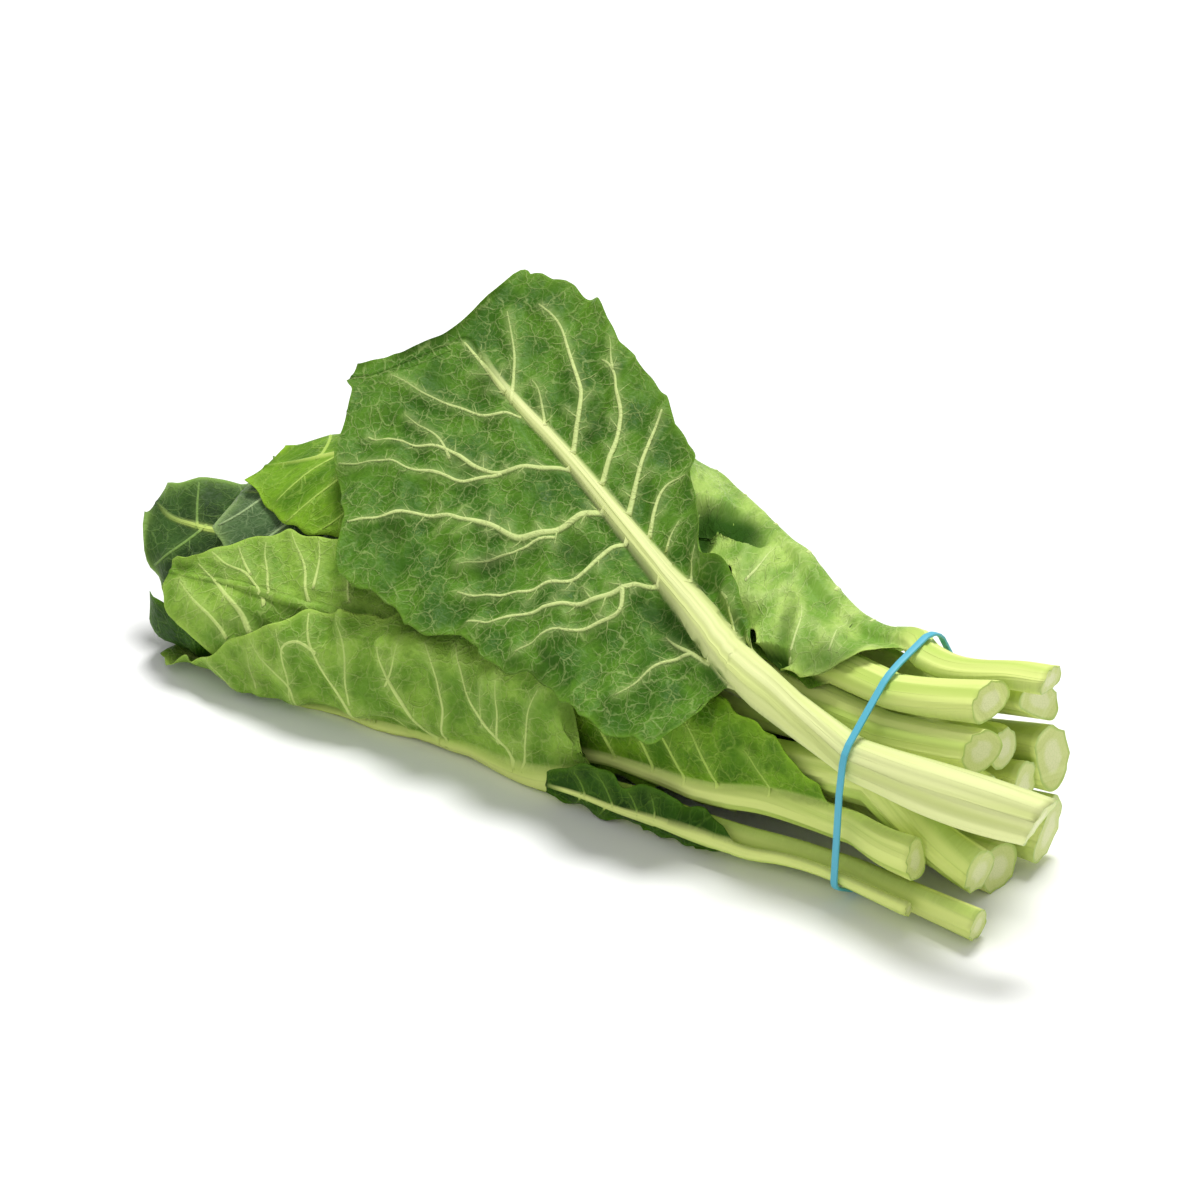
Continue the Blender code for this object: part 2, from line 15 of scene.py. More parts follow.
import bmesh
import bpy
import numpy as np
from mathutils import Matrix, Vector

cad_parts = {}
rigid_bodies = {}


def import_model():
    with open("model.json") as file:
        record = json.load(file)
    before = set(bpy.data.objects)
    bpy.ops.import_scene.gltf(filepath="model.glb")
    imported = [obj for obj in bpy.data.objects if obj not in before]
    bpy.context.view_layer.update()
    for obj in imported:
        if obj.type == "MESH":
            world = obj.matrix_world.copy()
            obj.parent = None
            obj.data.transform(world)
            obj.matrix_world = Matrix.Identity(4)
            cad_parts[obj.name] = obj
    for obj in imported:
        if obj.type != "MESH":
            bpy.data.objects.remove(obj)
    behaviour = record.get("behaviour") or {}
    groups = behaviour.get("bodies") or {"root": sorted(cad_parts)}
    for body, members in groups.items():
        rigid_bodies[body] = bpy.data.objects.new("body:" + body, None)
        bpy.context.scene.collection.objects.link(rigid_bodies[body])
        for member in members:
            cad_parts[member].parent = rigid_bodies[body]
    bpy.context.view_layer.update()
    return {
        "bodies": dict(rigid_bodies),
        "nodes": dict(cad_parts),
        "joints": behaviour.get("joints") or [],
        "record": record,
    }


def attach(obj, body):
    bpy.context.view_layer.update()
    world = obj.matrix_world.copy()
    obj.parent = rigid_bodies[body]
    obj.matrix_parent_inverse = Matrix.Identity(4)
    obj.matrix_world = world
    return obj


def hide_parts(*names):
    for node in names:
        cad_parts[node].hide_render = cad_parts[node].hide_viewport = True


LOG = logging.getLogger("collard_greens")
MM = 0.001
UV_UNIT = 0.01
SEED = 11
BODY = "root"


def srgb(red: int, green: int, blue: int) -> tuple[float, float, float, float]:
    """Turn a display colour into a linear one.

    Args:
        red: Its red, from 0 to 255.
        green: Its green, from 0 to 255.
        blue: Its blue, from 0 to 255.

    Returns:
        Linear red, green and blue, and full opacity.
    """
    parts = (channel / 255 for channel in (red, green, blue))
    linear = (c / 12.92 if c <= 0.04045 else ((c + 0.055) / 1.055) ** 2.4 for c in parts)
    return (*linear, 1.0)


def hermite(rows: np.ndarray, x: np.ndarray) -> np.ndarray:
    """Values at x of smooth curves through rows whose first column is x.

    Args:
        rows: One row for each known x, in any order.
        x: Places where the values are wanted.

    Returns:
        One row of values for each x.
    """
    table = np.array(sorted(map(tuple, rows)), dtype=float)
    knots, values = table[:, 0], table[:, 1:]
    slopes = np.gradient(values, knots, axis=0)
    x = np.clip(np.atleast_1d(np.asarray(x, dtype=float)), knots[0], knots[-1])
    i = np.clip(np.searchsorted(knots, x, side="right") - 1, 0, len(knots) - 2)
    step = (knots[i + 1] - knots[i])[:, None]
    t = ((x - knots[i]) / step[:, 0])[:, None]
    return (values[i] * (1 + 2 * t) * (1 - t) ** 2 + slopes[i] * step * t * (1 - t) ** 2
            + values[i + 1] * t * t * (3 - 2 * t) + slopes[i + 1] * step * t * t * (t - 1))


def blur(values: np.ndarray, times: int = 1) -> np.ndarray:
    """Average each value of a grid with its neighbours.

    Args:
        values: The grid.
        times: How often that is done.

    Returns:
        The smoother grid.
    """
    for _ in range(times):
        padded = np.pad(values, 1, mode="edge")
        values = (padded[1:-1, 1:-1] * 2 + padded[:-2, 1:-1] + padded[2:, 1:-1]
                  + padded[1:-1, :-2] + padded[1:-1, 2:]) / 6
    return values


def ripple(along: np.ndarray, lengths: tuple[float, ...], seed: int) -> np.ndarray:
    """A wavering line made of sine waves.

    Args:
        along: Places along the line.
        lengths: Length of each wave.
        seed: Seed of where the waves start.

    Returns:
        Values between about -1 and 1.
    """
    phases = np.random.default_rng(seed).uniform(0, 2 * math.pi, len(lengths))
    waves = [np.sin(2 * math.pi * along / length + phase) for length, phase in zip(lengths, phases)]
    return sum(waves) / len(lengths) ** 0.5


def run_along(course: np.ndarray) -> np.ndarray:
    """Length gone by at each point of a course."""
    return np.concatenate(([0.0], np.cumsum(np.hypot(*np.diff(course, axis=0).T))))


def put_in_scene(name: str, bm: bmesh.types.BMesh, *finishes: bpy.types.Material) -> bpy.types.Object:
    """Turn a finished mesh into an object of the scene.

    Args:
        name: Name of the piece.
        bm: The mesh, which is freed.
        *finishes: The piece's materials.

    Returns:
        The object.
    """
    mesh = bpy.data.meshes.new(name)
    bm.to_mesh(mesh)
    bm.free()
    for finish in finishes:
        mesh.materials.append(finish)
    made = bpy.data.objects.new(name, mesh)
    bpy.context.scene.collection.objects.link(made)
    return made


@dataclass(frozen=True)
class Heap:
    """The closed curve that the whole heap of leaves follows in section, and the line through its middle.

    The slope is that of the surface that the lowest ribs touch: its height at the origin, then its rise
    along and across. The shift moves the middle of the bunch to the origin.
    """

    sides: tuple[float, ...] = (-90.0, 0.0, 62.0, 90.0, 130.0, 180.0, 235.0)
    rounding: float = 9.0
    sections: tuple[tuple[float, ...], ...] = (
        # x, line y, line z, then the distance of each side
        (100.0, 0.0, 42.0, 40.0, 34.0, 33.0, 43.0, 42.0, 36.0, 44.0),
        (0.0, 0.0, 42.0, 41.0, 36.0, 34.0, 44.0, 42.0, 36.0, 46.0),
        (-60.0, 4.0, 43.0, 43.0, 42.0, 37.0, 50.0, 49.0, 44.0, 52.0),
        (-110.0, 10.0, 45.0, 45.0, 52.0, 37.0, 57.0, 60.0, 58.0, 60.0),
        (-180.0, 18.0, 47.0, 47.0, 64.0, 35.0, 66.0, 82.0, 74.0, 70.0),
        (-250.0, 22.0, 48.0, 48.0, 76.0, 31.0, 50.0, 65.0, 78.0, 72.0),
        (-330.0, 12.0, 40.0, 38.0, 64.0, 29.0, 27.0, 38.0, 68.0, 60.0),
        (-385.0, 4.0, 34.0, 22.0, 32.0, 24.0, 24.0, 32.0, 46.0, 36.0),
    )
    slope: tuple[float, float, float] = (-0.7226, -0.003535, 0.019206)
    shift: tuple[float, float] = (136.5, -22.5066)
    lowest: float = 0.05

    def radius(self, x: float, angles: np.ndarray) -> np.ndarray:
        """Distance from the middle line to the heap's surface.

        Args:
            x: Place along the bunch.
            angles: Directions seen from the middle line.

        Returns:
            The distance in each direction.
        """
        distances = hermite(self.sections, x)[0, 2:]
        facing = np.cos(np.radians(np.asarray(angles)[..., None] - np.array(self.sides)))
        total = np.sum(np.maximum(facing, 0.0) ** self.rounding / distances ** self.rounding, axis=-1)
        return total ** (-1.0 / self.rounding)

    def line(self, x: float | np.ndarray) -> np.ndarray:
        """Place of the middle line at each x, as rows of y and z."""
        return hermite(self.sections, x)[:, :2]

    def points(self, xs: np.ndarray, angles: np.ndarray, radii: np.ndarray) -> np.ndarray:
        """Place a grid of points, before the bunch is tilted to rest on its lowest ribs.

        Args:
            xs: Place of each section along the bunch.
            angles: Angle of each point, with a row for every section.
            radii: Distance of each point from the middle line.

        Returns:
            The points.
        """
        line = self.line(xs)
        turn = np.radians(angles)
        across = line[:, :1] - radii * np.cos(turn)
        height = line[:, 1:] + radii * np.sin(turn)
        return np.stack((np.repeat(xs[:, None], angles.shape[1], axis=1), across, height), axis=-1)

    def settled(self, points: np.ndarray) -> np.ndarray:
        """Put points in the frame of the solids.

        Args:
            points: Points before the bunch is tilted.

        Returns:
            The points tilted to rest on the surface, moved and in metres.
        """
        lift, along, across = self.slope
        foot = lift + along * points[..., 0] + across * points[..., 1]
        moved = points + np.array((*self.shift, 0.0))
        moved[..., 2] = np.maximum(points[..., 2] - foot, self.lowest)
        return moved * MM


HEAP = Heap()


class Venation(Enum):
    """Where the side veins of a leaf run."""

    FEATHERED = "feathered"
    TRACED = "traced"


@dataclass(frozen=True)
class Hollow:
    """A hollow pressed into a blade and darkened with painted shade, placed as it is seen from the front,
    with its size in millimetres.
    """

    place: tuple[float, float]
    size: tuple[float, float]
    turn: float
    depth: float
    # shade: how far painted shade darkens the blade's colour where it is pressed in
    shade: float
    crispness: float = 1.5

    def share(self, seen: np.ndarray) -> np.ndarray:
        """How much of the hollow each point has.

        Args:
            seen: Places of the points in the front view.

        Returns:
            Shares from 0 to 1.
        """
        turn = math.radians(self.turn)
        away = seen - np.array(self.place)
        along = (away[..., 0] * math.cos(turn) + away[..., 1] * math.sin(turn)) / self.size[0]
        over = (away[..., 1] * math.cos(turn) - away[..., 0] * math.sin(turn)) / self.size[1]
        return np.exp(-(along ** 2 + over ** 2) ** self.crispness)


@dataclass(frozen=True)
class LeafPlan:
    """One leaf, from its cut end to its tip.

    The sizes say where the leaf lies in the heap. Angles go from the front over the top.

    Attributes:
        name: Name of the leaf.
        finish: Name of its finish.
        cut_x: Where its stem is cut.
        cut: Angle and radius of the stem at the cut.
        tie: Angle and radius of the stem at the band.
        stem: Width and depth of the stem.
        level: Share of the heap's section at the leaf's base and at its tip.
        blade: Rows of x, the rib's angle, and the reach to the low side and to the high side.
        wave: Height, length and phase of the margin's waves.
        curl: How far the low margin, the high margin and the tip curl outward.
        plane: Direction and distance of the flat surface that a stiff leaf lies in.
        steps: Number of sections that the solid's blade has.
        top: Whether the leaf lies on all the others.
        pitch: Spacing of the fine grid.
        vein_spacing: Distance between side veins that are not traced.
        vein_height: Height of the ridges under the side veins.
        ruffle: Height of the fine waves of the margin.
        quilting: How far the blade sinks between its veins.
        swell: Height of the slow waves of the blade.
        venation: Where the side veins run.
        rib_end: Shares of the blade between which the rib fades.
        raised: Place, length and height of a stretch of margin that stands up.
        slant: How far the cut slants across and over.
        feathered: Sides that have feathered veins.
        hollows: Hollows pressed into the blade, each darkened with painted shade.
    """

    name: str
    finish: str
    cut_x: float
    cut: tuple[float, float]
    tie: tuple[float, float]
    stem: tuple[float, float]
    level: tuple[float, float]
    blade: tuple[tuple[float, float, float, float], ...]
    wave: tuple[float, float, float] = (2.5, 46.0, 1.0)
    curl: tuple[float, float, float] = (0.0, 0.0, 0.0)
    plane: tuple[float, float] | None = None
    steps: int = 13
    top: bool = False
    pitch: float = 2.15
    vein_spacing: float = 21.0
    vein_height: float = 0.5
    ruffle: float = 0.8
    quilting: float = 0.7
    swell: float = 0.8
    venation: Venation = Venation.FEATHERED
    rib_end: tuple[float, float] = (0.9, 1.0)
    raised: tuple[float, float, float] = (0.0, 30.0, 0.0)
    slant: tuple[float, float] | None = None
    feathered: tuple[int, ...] = (-1, 1)
    hollows: tuple[Hollow, ...] = ()


PLANS = (
    LeafPlan("left_tip_leaf", "dusky", 50.0, (18.0, 14.0), (64.0, 12.0), (17.0, 12.0), (0.44, 0.70),
             ((-80.0, 28.0, 6.0, 6.0), (-150.0, 30.0, 38.0, 18.0), (-240.0, 26.0, 48.0, 22.0),
              (-310.0, 20.0, 44.0, 30.0), (-340.0, 19.0, 30.0, 24.0), (-356.0, 26.0, 18.0, 14.0),
              (-363.0, 36.0, 5.0, 8.0)), (3.0, 38.0, 0.4), (2.0, 1.0, 1.5)),
    LeafPlan("heart_leaf", "mid", 47.0, (92.0, 20.0), (150.0, 16.0), (16.0, 11.0), (0.44, 0.45),
             ((-70.0, 134.0, 6.0, 6.0), (-130.0, 124.0, 26.0, 26.0), (-200.0, 118.0, 32.0, 32.0),
              (-255.0, 114.0, 26.0, 26.0), (-280.0, 112.0, 5.0, 5.0)), pitch=3.2),
    LeafPlan("inner_back_leaf", "mid", 46.0, (192.0, 13.0), (225.0, 13.0), (18.0, 14.0), (0.48, 0.60),
             ((-70.0, 210.0, 6.0, 6.0), (-130.0, 202.0, 36.0, 36.0), (-220.0, 196.0, 44.0, 48.0),
              (-290.0, 190.0, 30.0, 34.0), (-315.0, 188.0, 5.0, 5.0)), pitch=3.2),
    LeafPlan("grey_leaf", "grey", 53.0, (55.0, 40.0), (54.0, 25.0), (15.0, 12.0), (0.50, 0.84),
             ((-80.0, 54.0, 8.0, 8.0), (-150.0, 62.0, 34.0, 56.0), (-240.0, 66.0, 52.0, 62.0),
              (-290.0, 66.0, 46.0, 50.0), (-314.0, 64.0, 36.0, 36.0), (-328.0, 60.0, 18.0, 16.0)),
             (2.0, 48.0, 0.9), (0.0, 0.0, 0.0)),
    LeafPlan("under_leaf", "dark", 44.0, (269.0, 31.0), (270.0, 29.5), (18.0, 15.0), (0.66, 0.90),
             ((-60.0, 266.0, 8.0, 8.0), (-130.0, 264.0, 50.0, 34.0), (-230.0, 266.0, 64.0, 48.0),
              (-300.0, 268.0, 52.0, 72.0), (-330.0, 270.0, 40.0, 74.0), (-343.0, 274.0, 20.0, 66.0)),
             (2.0, 52.0, 0.7), (0.0, 2.0, 0.0), pitch=2.4),
    LeafPlan("back_leaf", "mid", 48.0, (172.0, 27.0), (184.0, 28.0), (20.0, 14.0), (0.76, 0.76),
             ((-65.0, 178.0, 5.0, 8.0), (-130.0, 174.0, 20.0, 40.0), (-220.0, 168.0, 26.0, 54.0),
              (-300.0, 166.0, 20.0, 44.0), (-330.0, 166.0, 14.0, 20.0), (-342.0, 166.0, 6.0, 6.0)),
             (3.0, 44.0, 1.4), (2.0, 2.0, 2.0)),
    LeafPlan("low_back_leaf", "mid", 50.0, (224.0, 32.0), (227.0, 31.0), (20.0, 14.0), (0.88, 0.92),
             ((-65.0, 226.0, 8.0, 8.0), (-130.0, 227.0, 50.0, 34.0), (-220.0, 228.0, 60.0, 40.0),
              (-300.0, 226.0, 42.0, 34.0), (-338.0, 222.0, 8.0, 8.0)),
             (2.0, 48.0, 2.2), (1.0, 0.0, 1.0)),
    LeafPlan("curled_tip_leaf", "fresh", 47.0, (127.0, 34.0), (143.0, 31.0), (19.0, 11.0), (0.66, 0.74),
             ((-70.0, 138.0, 8.0, 8.0), (-140.0, 136.0, 40.0, 36.0), (-230.0, 126.0, 46.0, 50.0),
              (-290.0, 110.0, 34.0, 40.0), (-310.0, 102.0, 22.0, 26.0), (-326.0, 94.0, 9.0, 10.0)),
             (2.5, 36.0, 2.1), (1.0, 1.0, 2.0)),
    LeafPlan("front_inner_leaf", "pale", 51.0, (-46.0, 29.0), (2.0, 22.0), (18.0, 14.0), (0.62, 0.90),
             ((-80.0, -16.0, 8.0, 8.0), (-140.0, -15.0, 34.0, 38.0), (-220.0, -8.0, 40.0, 36.0),
              (-272.0, -3.0, 38.0, 32.0), (-304.0, 0.0, 26.0, 24.0), (-320.0, 0.0, 16.0, 15.0),
              (-335.0, 0.0, 4.0, 4.0)), (1.6, 50.0, 2.6), (0.0, 1.5, 0.0), steps=16, pitch=1.4, quilting=2.0,
             swell=3.0, venation=Venation.TRACED, feathered=(), rib_end=(0.3, 0.4),
             hollows=(Hollow((-240.0, 106.0), (12.0, 3.0), -40.0, 2.0, 0.35),)),
    LeafPlan("middle_front_leaf", "fresh", 34.0, (-17.0, 39.0), (-22.0, 34.0), (14.0, 11.0), (0.80, 0.86),
             ((-14.0, -25.0, 1.0, 4.0), (-50.0, -27.0, 2.0, 24.0), (-90.0, -29.0, 4.0, 40.0),
              (-130.0, -30.0, 8.0, 44.0), (-165.0, -29.0, 8.0, 30.0), (-186.0, -28.0, 4.0, 6.0)),
             (2.4, 26.0, 1.9), (0.0, 2.0, 0.0), pitch=1.3),
    LeafPlan("front_outer_leaf", "pale", 63.0, (-40.0, 52.0), (-45.5, 46.5), (13.0, 10.0), (0.84, 0.99),
             ((-122.0, -36.0, 3.0, 4.0), (-133.0, -36.0, 8.0, 22.0), (-144.0, -37.0, 12.0, 46.0),
              (-200.0, -37.0, 20.0, 54.0), (-255.0, -37.0, 30.0, 54.0), (-280.0, -37.0, 28.0, 43.0),
              (-300.0, -36.0, 26.0, 26.0), (-320.0, -36.0, 16.0, 13.0), (-335.0, -35.0, 5.0, 3.0)),
             (1.6, 54.0, 1.1), (-1.5, 1.0, 0.0), steps=17, pitch=1.15, quilting=2.6,
             swell=4.5, ruffle=1.6, venation=Venation.TRACED, feathered=(-1,),
             hollows=(Hollow((-114.0, 68.0), (14.0, 5.0), -60.0, 4.0, 0.6),
                      Hollow((-172.0, 107.0), (24.0, 5.0), -30.0, 2.0, 0.45),
                      Hollow((-245.0, 88.0), (12.0, 4.0), -45.0, 1.5, 0.3))),
    LeafPlan("right_curled_leaf", "mid", 50.0, (75.0, 44.0), (74.0, 35.0), (15.0, 10.0), (0.80, 0.90),
             ((-28.0, 78.0, 5.0, 5.0), (-60.0, 87.0, 7.0, 12.0), (-90.0, 98.0, 20.0, 22.0),
              (-125.0, 108.0, 32.0, 30.0), (-165.0, 113.0, 40.0, 38.0), (-205.0, 116.0, 34.0, 34.0),
              (-228.0, 118.0, 8.0, 8.0)), (2.0, 36.0, 0.2), (0.0, 8.0, 0.0), steps=15, pitch=1.6),
    LeafPlan("right_back_leaf", "right", 62.0, (101.0, 52.0), (103.5, 36.0), (14.0, 9.0), (0.86, 0.96),
             ((-6.0, 109.0, 5.0, 5.0), (-30.0, 112.0, 26.0, 18.0), (-60.0, 118.0, 32.0, 28.0),
              (-100.0, 132.0, 28.0, 40.0), (-150.0, 146.0, 34.0, 46.0), (-190.0, 152.0, 30.0, 34.0),
              (-214.0, 154.0, 8.0, 8.0)), (2.6, 30.0, 2.4), (2.0, 3.0, 0.0), steps=15, pitch=1.2,
             venation=Venation.TRACED, feathered=(1,), quilting=1.5, swell=2.0, rib_end=(0.0, 0.05),
             hollows=(Hollow((-51.0, 150.0), (17.0, 5.5), -27.0, 9.0, 0.98, 4.0),
                      Hollow((-62.0, 148.0), (6.0, 11.0), 0.0, 6.0, 0.98, 4.0),
                      Hollow((-36.0, 95.0), (10.0, 4.5), -10.0, 6.0, 0.95, 4.0),
                      Hollow((-28.0, 108.0), (3.0, 11.0), -15.0, 1.0, 0.6),
                      Hollow((-12.0, 92.0), (16.0, 8.0), -20.0, 1.0, 0.6))),
    LeafPlan("low_small_leaf", "dark", 36.0, (-32.0, 45.0), (-34.0, 44.0), (5.0, 4.0), (1.1, 1.1),
             ((-50.0, -33.0, 2.0, 2.0), (-75.0, -32.0, 5.0, 5.0), (-105.0, -32.0, 6.0, 10.0),
              (-126.0, -31.0, 7.0, 12.0), (-142.0, -31.0, 3.0, 4.0)), (1.4, 24.0, 0.3), (0.0, 0.0, 0.0),
             pitch=1.0, vein_spacing=11.0),
    LeafPlan("top_leaf", "top", 90.0, (28.0, 37.0), (27.0, 34.0), (15.0, 12.0), (1.0, 1.0),
             ((-62.0, 48.0, 4.0, 4.0), (-71.0, 51.5, 9.0, 6.0), (-77.0, 54.7, 30.0, 9.0),
              (-83.0, 58.2, 42.0, 11.0), (-94.0, 64.7, 52.0, 13.0), (-103.0, 70.2, 58.5, 13.5),
              (-118.0, 78.7, 60.0, 19.0), (-127.0, 83.6, 62.5, 24.0), (-136.0, 88.0, 68.0, 32.0),
              (-154.0, 96.0, 73.5, 38.0), (-172.0, 102.7, 81.0, 44.5), (-190.0, 108.2, 88.0, 43.0),
              (-205.0, 111.8, 98.0, 47.5), (-220.0, 114.8, 102.0, 50.0), (-232.0, 117.2, 103.5, 48.0),
              (-244.0, 119.8, 108.0, 42.5), (-257.0, 123.0, 107.0, 35.0), (-263.0, 124.4, 102.0, 29.0),
              (-267.0, 124.5, 95.0, 10.0), (-274.0, 122.0, 80.0, 2.0), (-280.0, 119.7, 65.0, 2.0),
              (-286.0, 117.1, 48.0, 3.0), (-292.0, 114.4, 26.0, 4.0), (-297.0, 113.0, 10.0, 4.0),
              (-302.0, 112.0, 3.0, 3.0)),
             (2.0, 44.0, 0.0), (0.0, 3.0, 0.0), plane=(62.0, 36.0), steps=30, top=True, pitch=1.08,
             vein_height=0.9, ruffle=1.6, quilting=2.0, swell=3.6, venation=Venation.TRACED,
             rib_end=(0.68, 0.82), raised=(-112.0, 26.0, 8.0), slant=(4.5, 1.5), feathered=(),
             hollows=(Hollow((-76.0, 107.0), (15.0, 6.0), -50.0, 1.5, 0.55),
                      Hollow((-187.0, 144.0), (7.0, 5.0), 0.0, 0.8, 0.45),
                      Hollow((-112.0, 137.0), (8.0, 6.0), 20.0, 1.0, 0.4),
                      Hollow((-148.0, 132.0), (9.0, 3.5), 10.0, 0.8, 0.35),
                      Hollow((-130.0, 86.0), (12.0, 5.0), -30.0, 1.5, 0.4),
                      Hollow((-104.0, 190.0), (4.0, 12.0), -10.0, 1.0, 0.35),
                      Hollow((-150.0, 205.0), (8.0, 5.0), 40.0, 1.2, 0.35))),
)


@dataclass(frozen=True)
class LeafForm:
    """Works out where a leaf wishes to lie, for any sections along it and any columns across it."""

    plan: LeafPlan
    blade_half: float = 0.45
    stem_spacing: float = 24.0
    rib_tip: tuple[float, float] = (1.6, 0.5)
    rib_inner_share: float = 0.35
    flare: float = 1.25
    scallop: float = 0.0
    neck: float = 70.0
    start: float = 7.0
    steepest: float = 74.0
    crowding: float = 0.4
    taper: tuple[float, float] = (1.3, 1.5)
    rib_slack: float = 1.02
    high_wave: float = 0.7
    lobe_lengths: tuple[float, ...] = (43.0, 25.0, 14.0)
    rib_steps: tuple[float, ...] = (0.0, 0.4, 0.7, 0.86, 0.94, 0.98, 1.0)
    wing_steps: tuple[float, ...] = (0.0, 0.0, 0.02, 0.12, 0.38, 0.7, 1.0)
    top_rib_steps: tuple[float, ...] = (0.0, 0.35, 0.62, 0.8, 0.9, 0.95, 0.97, 0.99, 1.0)
    top_wing_steps: tuple[float, ...] = (0.0, 0.0, 0.01, 0.06, 0.22, 0.41, 0.6, 0.8, 1.0)

    @property
    def base(self) -> float:
        """Where the blade begins."""
        return self.plan.blade[0][0]

    @property
    def tip(self) -> float:
        """Where the blade ends."""
        return self.plan.blade[-1][0]

    def steps(self) -> tuple[np.ndarray, np.ndarray]:
        """Find the columns of the solid.

        Returns:
            Shares of the rib's half width and of the blade's reach at each column.
        """
        pair = self.rib_steps, self.wing_steps
        if self.plan.top:
            pair = self.top_rib_steps, self.top_wing_steps
        ribs, wings = (np.concatenate((-np.array(steps)[:0:-1], steps)) for steps in pair)
        return ribs, wings

    def stations(self) -> np.ndarray:
        """Find the sections of the solid.

        Returns:
            Their places along the bunch, from the cut end to the tip.
        """
        count = max(4, round((self.plan.cut_x - self.base) / self.stem_spacing))
        stem = np.linspace(self.plan.cut_x, self.base, count, endpoint=False)
        turn = np.linspace(0.0, 1.0, self.plan.steps + 1)
        eased = (1 - self.crowding) * turn + self.crowding * np.sin(turn * math.pi / 2)
        blade = self.base + (self.tip - self.base) * eased
        return np.concatenate((stem, blade))

    def course(self, x: float) -> tuple[float, float, float]:
        """Follow the rib.

        Args:
            x: Place along the bunch.

        Returns:
            Angle of the rib, and how far the blade reaches to the low and to the high side.
        """
        plan = self.plan
        if x >= 0.0:
            return plan.tie[0] + (plan.cut[0] - plan.tie[0]) * x / plan.cut_x, 0.0, 0.0
        middle, low, high = hermite(((0.0, plan.tie[0], 0.0, 0.0),) + plan.blade, x)[0]
        if x >= self.base:
            return middle, 0.0, 0.0
        grown = min(1.0, (self.base - x) / self.start)
        return middle, max(low, 0.0) * grown, max(high, 0.0) * grown

    def wished_radius(self, x: float, angles: np.ndarray) -> np.ndarray:
        """Radius at which the blade would like to lie.

        Args:
            x: Place along the bunch.
            angles: Directions seen from the middle line.

        Returns:
            The radius in each direction.
        """
        if self.plan.plane:
            direction, distance = self.plan.plane
            offset = np.clip(angles - direction, -self.steepest, self.steepest)
            moved = HEAP.line(x)[0] - HEAP.line(0.0)[0]
            shift = moved[0] * math.cos(math.radians(direction))
            drop = moved[1] * math.sin(math.radians(direction))
            return (distance + shift - drop) / np.cos(np.radians(offset))
        along = min(max((self.base - x) / (self.base - self.tip), 0.0), 1.0)
        level = self.plan.level
        return (level[0] + (level[1] - level[0]) * along) * HEAP.radius(x, angles)

    def angles_along(self, x: float, middle: float, reaches: np.ndarray) -> np.ndarray:
        """Measure off distances from the rib, along the section.

        Args:
            x: Place along the bunch.
            middle: Angle of the rib.
            reaches: Distances from the rib, which are negative on the low side.

        Returns:
            Angles of the points at those distances.
        """
        fine = np.linspace(middle - 150.0, middle + 150.0, 601)
        radius = self.wished_radius(x, fine)
        turn = np.radians(fine)
        run = run_along(np.column_stack((-radius * np.cos(turn), radius * np.sin(turn))))
        run -= np.interp(middle, fine, run)
        return np.interp(reaches, run, fine)

    def section(self, x: float, middle: float, reach: np.ndarray) -> tuple[np.ndarray, np.ndarray]:
        """Place the points of one section.

        Args:
            x: Place along the bunch.
            middle: Angle of the rib.
            reach: Distance of each point from the rib.

        Returns:
            Angles and radii of the points.
        """
        plan = self.plan
        stem_radius = plan.tie[1] + (plan.cut[1] - plan.tie[1]) * max(x, 0.0) / plan.cut_x
        lean = min(max(-x / max(-self.base, self.neck), 0.0), 1.0)
        lean = lean * lean * (3 - 2 * lean)
        round_stem = middle + np.degrees(reach / stem_radius)
        if lean == 0.0:
            return round_stem, np.full_like(round_stem, stem_radius)
        angles = round_stem + (self.angles_along(x, middle, reach) - round_stem) * lean
        return angles, stem_radius + (self.wished_radius(x, angles) - stem_radius) * lean

    def margin_lift(self, x: float, along: float, wings: np.ndarray) -> np.ndarray:
        """How far waves and curls lift the blade outward.

        Args:
            x: Place along the bunch.
            along: Share of the blade's length gone by.
            wings: Share of the blade's reach at each column.

        Returns:
            The lift of each column.
        """
        edge = np.abs(wings)
        height, length, phase = self.plan.wave
        low_curl, high_curl, tip_curl = self.plan.curl
        wave = height * edge ** 1.5 * math.sin(2 * math.pi * x / length + phase)
        curl = np.where(wings < 0, low_curl, high_curl) * edge ** 3 + tip_curl * along ** 6
        return (np.where(wings < 0, wave, -self.high_wave * wave) + curl) * min(1.0, along * 4)

    def scallops(self, x: float, wings: np.ndarray) -> np.ndarray:
        """Small lobes that the fine margins have, as changes of the reach at x."""
        low, high = (float(ripple(x, self.lobe_lengths, SEED + side)) for side in (0, 1))
        return self.scallop * np.sign(wings) * wings ** 6 * np.where(wings < 0, low, high)

    def on_rib(self, grid: dict[str, np.ndarray]) -> np.ndarray:
        """Which points of a wished grid lie on the rib or the stem."""
        return np.abs(grid["reach"]) <= grid["half_width"] * self.rib_slack

